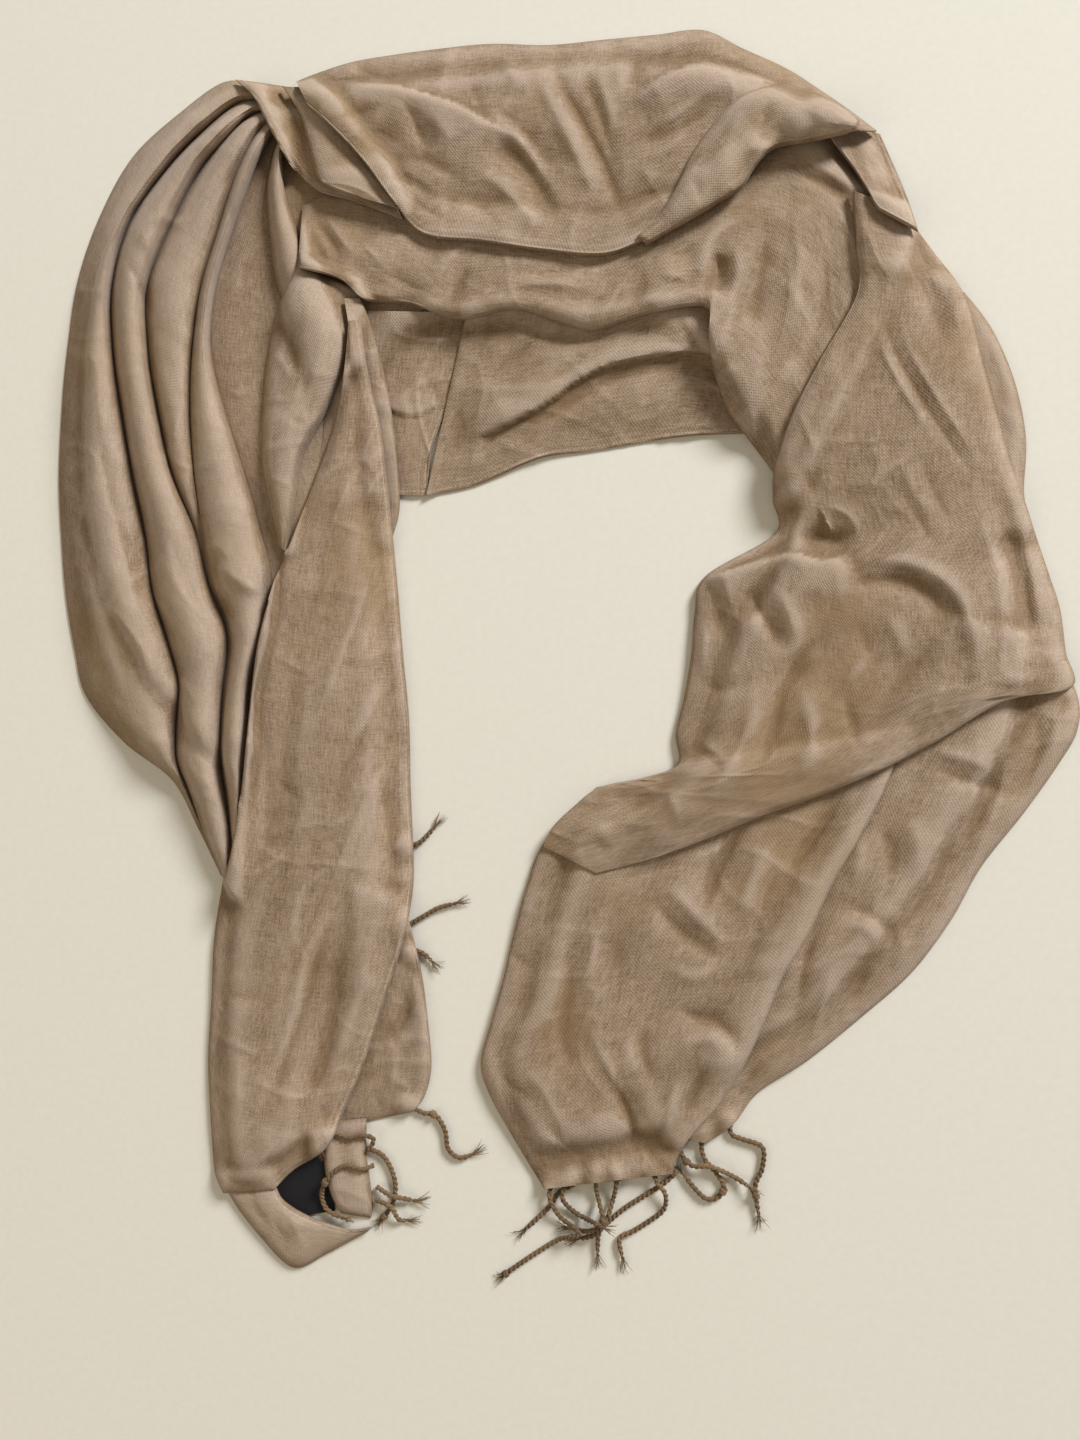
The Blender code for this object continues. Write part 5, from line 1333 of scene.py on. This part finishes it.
def hidden_layers(heap, finish):
    """The layers under the ones that show: low, flat below, rounded and stepped like stacked edges."""
    at, _, _ = even_rows(HIDDEN, HIDDEN_STEP)
    heights = [height for _, height in HIDDEN_EDGE]
    level = np.array(heights + [1.0] * len(HIDDEN_MIDDLE) + heights[::-1])
    xs, ys, zs = [], [], []
    for row in at:
        left, right = row[0:2], row[2:4]
        width = np.linalg.norm(right - left)
        across = [distance / width for distance, _ in HIDDEN_EDGE]
        share = np.array(across + HIDDEN_MIDDLE + [1 - a for a in reversed(across)])
        xs.append(left[0] * (1 - share) + right[0] * share)
        ys.append(left[1] * (1 - share) + right[1] * share)
        zs.append(level * HIDDEN_HEIGHT)
    x, y, z = np.array(xs), np.array(ys), np.array(zs)
    z[[0, -1]] *= HIDDEN_END
    rows_count, columns = x.shape
    lower = np.stack([x.ravel(), y.ravel(), np.zeros(x.size)], axis=1)
    upper = np.stack([x.ravel(), y.ravel(), z.ravel()], axis=1)
    heap.add(upper, grid_faces(rows_count, columns))
    heap.soften()
    weave = lower[:, :2] * MM
    return piece(
        "hidden_layers_cloth",
        np.concatenate([lower, upper]),
        shell_faces(rows_count, columns),
        finish,
        np.concatenate([weave, weave]),
        hem=np.full(2 * x.size, FAR),
        crest=np.zeros(2 * x.size),
    )


# The fringe


def directions(path):
    """The directions along a path, beside it and up from it, at each of its points."""
    along = np.gradient(path, axis=0)
    along /= np.linalg.norm(along, axis=1, keepdims=True) + 1e-12
    aside = np.cross(along, UPRIGHT)
    aside /= np.linalg.norm(aside, axis=1, keepdims=True) + 1e-12
    return along, aside, np.cross(aside, along)


def tube(path, radius, sides):
    """The points, faces and pattern places of a closed bar along the path."""
    path = np.asarray(path, float)
    radius = np.broadcast_to(radius, (len(path),))
    _, aside, up = directions(path)
    turns = (np.arange(sides) + 0.5) * 2 * math.pi / sides
    ring = aside[:, None] * np.cos(turns)[None, :, None] + up[:, None] * np.sin(turns)[None, :, None]
    points = (path[:, None] + ring * radius[:, None, None]).reshape(-1, 3)
    k, s = np.meshgrid(np.arange(len(path) - 1), np.arange(sides), indexing="ij")
    a, b = (k * sides + s).ravel(), (k * sides + (s + 1) % sides).ravel()
    faces = np.concatenate([np.stack([a, b, b + sides], axis=1), np.stack([a, b + sides, a + sides], axis=1)])
    last = (len(path) - 1) * sides
    caps = [(0, s + 1, s) for s in range(1, sides - 1)]
    caps += [(last, last + s, last + s + 1) for s in range(1, sides - 1)]
    girth = 2 * math.pi * radius.mean() * MM
    around = np.tile(np.arange(sides) / sides * girth, len(path))
    pattern = np.stack([around, np.repeat(run_along(path) * MM, sides)], axis=1)
    return points, np.concatenate([faces, np.array(caps)]), pattern


def joined(bars):
    """The bars' points, faces and patterns as those of one mesh."""
    points, faces, patterns, base = [], [], [], 0
    for bar_points, bar_faces, bar_pattern in bars:
        points.append(bar_points)
        faces.append(bar_faces + base)
        patterns.append(bar_pattern)
        base += len(bar_points)
    return np.concatenate(points), np.concatenate(faces), np.concatenate(patterns)


def strand_path(heap, route):
    """A strand's middle line: along its route, over whatever lies there."""
    route = np.asarray(route, float)
    seen = blend(route, even_places(route, STRAND_STEP))
    x, y = seen[:, 0], seen[:, 1]
    for _ in range(2):
        reach = np.arange(-1, 2) * STRAND
        near = [heap.top[heap.cells(x + dx, y + dy)] for dx in reach for dy in reach]
        z = np.max(near, axis=0)
        wide = z.copy()
        for shift in range(1, STRAND_SMOOTHING + 1):
            ahead = np.append(z[shift:], [0] * shift)
            behind = np.append([0] * shift, z[:-shift])
            wide = np.maximum(wide, np.maximum(ahead, behind))
        window = np.ones(2 * STRAND_SMOOTHING + 1) / (2 * STRAND_SMOOTHING + 1)
        smooth = np.convolve(np.pad(wide, STRAND_SMOOTHING, mode="edge"), window, mode="valid")
        z = np.maximum(smooth, z)
        x, y = drawn_in(seen[:, 0], seen[:, 1], z)
    return np.stack([x, y, z + STRAND + STRAND_GAP], axis=1)


def twisted_strand(path, rng):
    """Two plies wound round each other, and the loose fibres at the tip."""
    run = run_along(path)
    along, aside, up = directions(path)
    start = rng.uniform(0, 2 * math.pi)
    bars = []
    taper = np.clip((run[-1] - run) / TIP, TIP_RADIUS, 1)
    for ply in (0, math.pi):
        turn = (start + ply + run * 2 * math.pi / TWIST)[:, None]
        wound = path + (aside * np.cos(turn) + up * np.sin(turn)) * PLY_ORBIT
        bars.append(tube(wound, PLY * taper, PLY_SIDES))
    tip, ahead = path[-1], along[-1]
    for _ in range(FIBRES):
        length = rng.uniform(*FIBRE_LENGTHS)
        sideways = rng.normal(0, FIBRE_SPREAD)
        lift = rng.uniform(*FIBRE_LIFTS)
        steps = np.linspace(0, 1, FIBRE_POINTS)[:, None]
        side = aside[-1] * sideways + np.array([0, 0, 1]) * lift
        bend = aside[-1] * rng.normal(0, FIBRE_BEND)
        line = tip - ahead * FIBRE_ROOT + ahead * steps * length
        line = line + side * steps * length * 0.5 + bend * steps**2 * 3
        line[:, 2] = np.maximum(line[:, 2] - steps[:, 0] ** 2 * 1.5, FIBRE + STRAND_GAP)
        bars.append(tube(line, np.linspace(FIBRE * 1.6, FIBRE * 0.6, FIBRE_POINTS), FIBRE_SIDES))
    return bars


def knot(path, share, rng):
    """Two close turns of yarn round the strand."""
    at = min(int(share * len(path)), len(path) - 2)
    along = path[at + 1] - path[at]
    along /= np.linalg.norm(along)
    aside = np.cross(along, UPRIGHT)
    aside /= np.linalg.norm(aside)
    up = np.cross(aside, along)
    turn = rng.uniform(0, 2 * math.pi) + np.linspace(0, KNOT_TURNS * 2 * math.pi, KNOT_POINTS)
    ring = (np.cos(turn)[:, None] * aside + np.sin(turn)[:, None] * up) * KNOT
    shift = np.linspace(-KNOT_REACH, KNOT_REACH, KNOT_POINTS)[:, None] * along
    return tube(path[at] + ring + shift + up * 0.5, PLY, PLY_SIDES)


def fringe(heap, name, finish, rng):
    """All the strands and knots of one fringe, laid on the heap."""
    table = FRINGES[name]
    bars, paths = [], []
    for route in table.strands:
        path = strand_path(heap, route)
        paths.append(path)
        bars += twisted_strand(path, rng)
        heap.add(*tube(path, STRAND, PLY_SIDES)[:2])
    bars += [knot(paths[strand], share, rng) for strand, share in table.knots]
    heap.soften()
    points, faces, pattern = joined(bars)
    made = piece(f"{name}_yarn", points, faces, finish, pattern)
    dress(made, name)
    return made


# Stage


def stage():
    bpy.ops.object.select_all(action="DESELECT")
    bpy.ops.mesh.primitive_plane_add(size=FLOOR_SIZE, location=(0, 0, -FLOOR_DROP))
    floor = bpy.context.object
    floor.name = "floor"
    floor.data.materials.append(pale_floor())
    bpy.ops.object.transform_apply(location=True, rotation=True, scale=True)


def soft_light(lamp):
    light = bpy.data.lights.new(lamp.name, "AREA")
    light.shape = "DISK"
    light.size = lamp.size
    light.energy = lamp.watts
    light.color = lamp.colour
    made = bpy.data.objects.new(lamp.name, light)
    made.location = lamp.place
    made.rotation_euler = (Vector(lamp.aim) - Vector(lamp.place)).to_track_quat("-Z", "Y").to_euler()
    bpy.context.scene.collection.objects.link(made)


def lights():
    for lamp in LAMPS:
        soft_light(lamp)
    world = bpy.data.worlds.new("room_light")
    world.use_nodes = True
    back = world.node_tree.nodes["Background"]
    back.inputs["Color"].default_value = ROOM_COLOUR
    back.inputs["Strength"].default_value = ROOM_STRENGTH
    bpy.context.scene.world = world
    bpy.context.scene.view_settings.view_transform = "Standard"
    bpy.context.scene.view_settings.look = "None"


def camera():
    data = bpy.data.cameras.new("camera")
    data.sensor_fit = "AUTO"
    data.sensor_width = SENSOR
    data.lens = LENS
    data.clip_start = 0.01
    made = bpy.data.objects.new("camera", data)
    made.location = Vector((EYE[0] - ORIGIN[0], EYE[1] - ORIGIN[1], EYE[2])) * MM
    aim = Vector((-ORIGIN[0], -ORIGIN[1], 0)) * MM
    forward = (aim - made.location).normalized()
    right = forward.cross(Vector((0, 1, 0))).normalized()
    up = right.cross(forward)
    made.matrix_world = matrix_of(right, up, -forward, made.location)
    bpy.context.scene.collection.objects.link(made)
    bpy.context.scene.camera = made


def matrix_of(x, y, z, place):
    """The matrix whose columns are three directions and a place."""
    matrix = Matrix((x, y, z)).transposed().to_4x4()
    matrix.translation = place
    return matrix


def main():
    stage()
    lights()
    camera()
    cloth, yarn, tape = woven_taupe(), twisted_yarn(), black_tape()
    heap = Heap()
    rng = np.random.default_rng(SEED)
    dress(hidden_layers(heap, cloth), "hidden_layers")
    ends = {name: fringe(heap, name, yarn, rng) for name in FRINGES if name not in LAID_ON_THE_TONGUE}

    def show(laid, node):
        dress(laid.made, node)

    def cloth_piece(name, table, rests_on, fringes=(), **more):
        show(stretch(heap, name, table, cloth, **more), name)

    cloth_piece(
        "lower_band_back", LOWER_BAND_BACK, "hidden_layers",
        creases=LOWER_BAND_BACK_CREASES, steps=LOWER_BAND_BACK_STEPS, selvedge="end right",
    )
    cloth_piece(
        "lower_band", LOWER_BAND, "lower_band_back",
        creases=LOWER_BAND_CREASES, steps=LOWER_BAND_STEPS, start_roll=10, selvedge="right",
    )
    show(gathers(heap, "left_gathers", cloth), "left_gathers")
    cloth_piece("inner_left_fold", INNER_LEFT_FOLD, "left_gathers", creases=INNER_LEFT_CREASES, start_roll=4)
    cloth_piece("front_panel_back", FRONT_PANEL_BACK, "hidden_layers", end_roll=14)
    side_fringes = ["left_side_fringe_upper", "left_side_fringe_lower"]
    cloth_piece(
        "left_under_end", LEFT_UNDER_END, "hidden_layers", side_fringes,
        creases=LEFT_UNDER_CREASES, end_roll=4,
    )
    label = stretch(heap, "label", LABEL, tape, wrinkle=LABEL_WRINKLE)
    show(label, "label")
    tongue = stretch(
        heap, "end_tongue", END_TONGUE, cloth, creases=END_TONGUE_CREASES, start_roll=6, end_roll=6
    )
    ends.update({name: fringe(heap, name, yarn, rng) for name in LAID_ON_THE_TONGUE})
    show(tongue, "end_tongue")
    cloth_piece("turned_hem", TURNED_HEM, "hidden_layers", creases=TURNED_HEM_CREASES, selvedge="left")
    cloth_piece(
        "front_panel", FRONT_PANEL, "left_gathers",
        creases=FRONT_PANEL_CREASES, end_roll=12, selvedge="right",
    )
    cloth_piece("middle_band", MIDDLE_BAND, "lower_band", creases=MIDDLE_BAND_CREASES, start_roll=7)
    cloth_piece("right_outer_fold", RIGHT_OUTER_FOLD, "hidden_layers", creases=RIGHT_OUTER_CREASES)
    cloth_piece("right_back", RIGHT_BACK, "hidden_layers", ["right_back_fringe"], creases=RIGHT_BACK_CREASES)
    cloth_piece("right_lower", RIGHT_LOWER, "right_back", ["right_end_fringe"], creases=RIGHT_LOWER_CREASES)
    cloth_piece(
        "right_front", RIGHT_FRONT, "right_lower",
        creases=RIGHT_FRONT_CREASES, steps=RIGHT_FRONT_STEPS, end_roll=22,
    )
    cloth_piece(
        "collar_right_end", COLLAR_RIGHT_END, "middle_band",
        creases=COLLAR_RIGHT_END_CREASES, end_roll=5, selvedge="right",
    )
    cloth_piece(
        "collar_left_end", COLLAR_LEFT_END, "left_gathers",
        creases=COLLAR_LEFT_END_CREASES, start_roll=6, selvedge="left",
    )
    cloth_piece("collar_left_layer", COLLAR_LEFT_LAYER, "collar_left_end", selvedge="left")
    cloth_piece(
        "collar", COLLAR, "middle_band", creases=COLLAR_CREASES, steps=COLLAR_STEPS, selvedge="right"
    )
    cloth_piece(
        "collar_flap", COLLAR_FLAP, "collar",
        creases=COLLAR_FLAP_CREASES, start_roll=4, end_roll=4, selvedge="right",
    )


main()
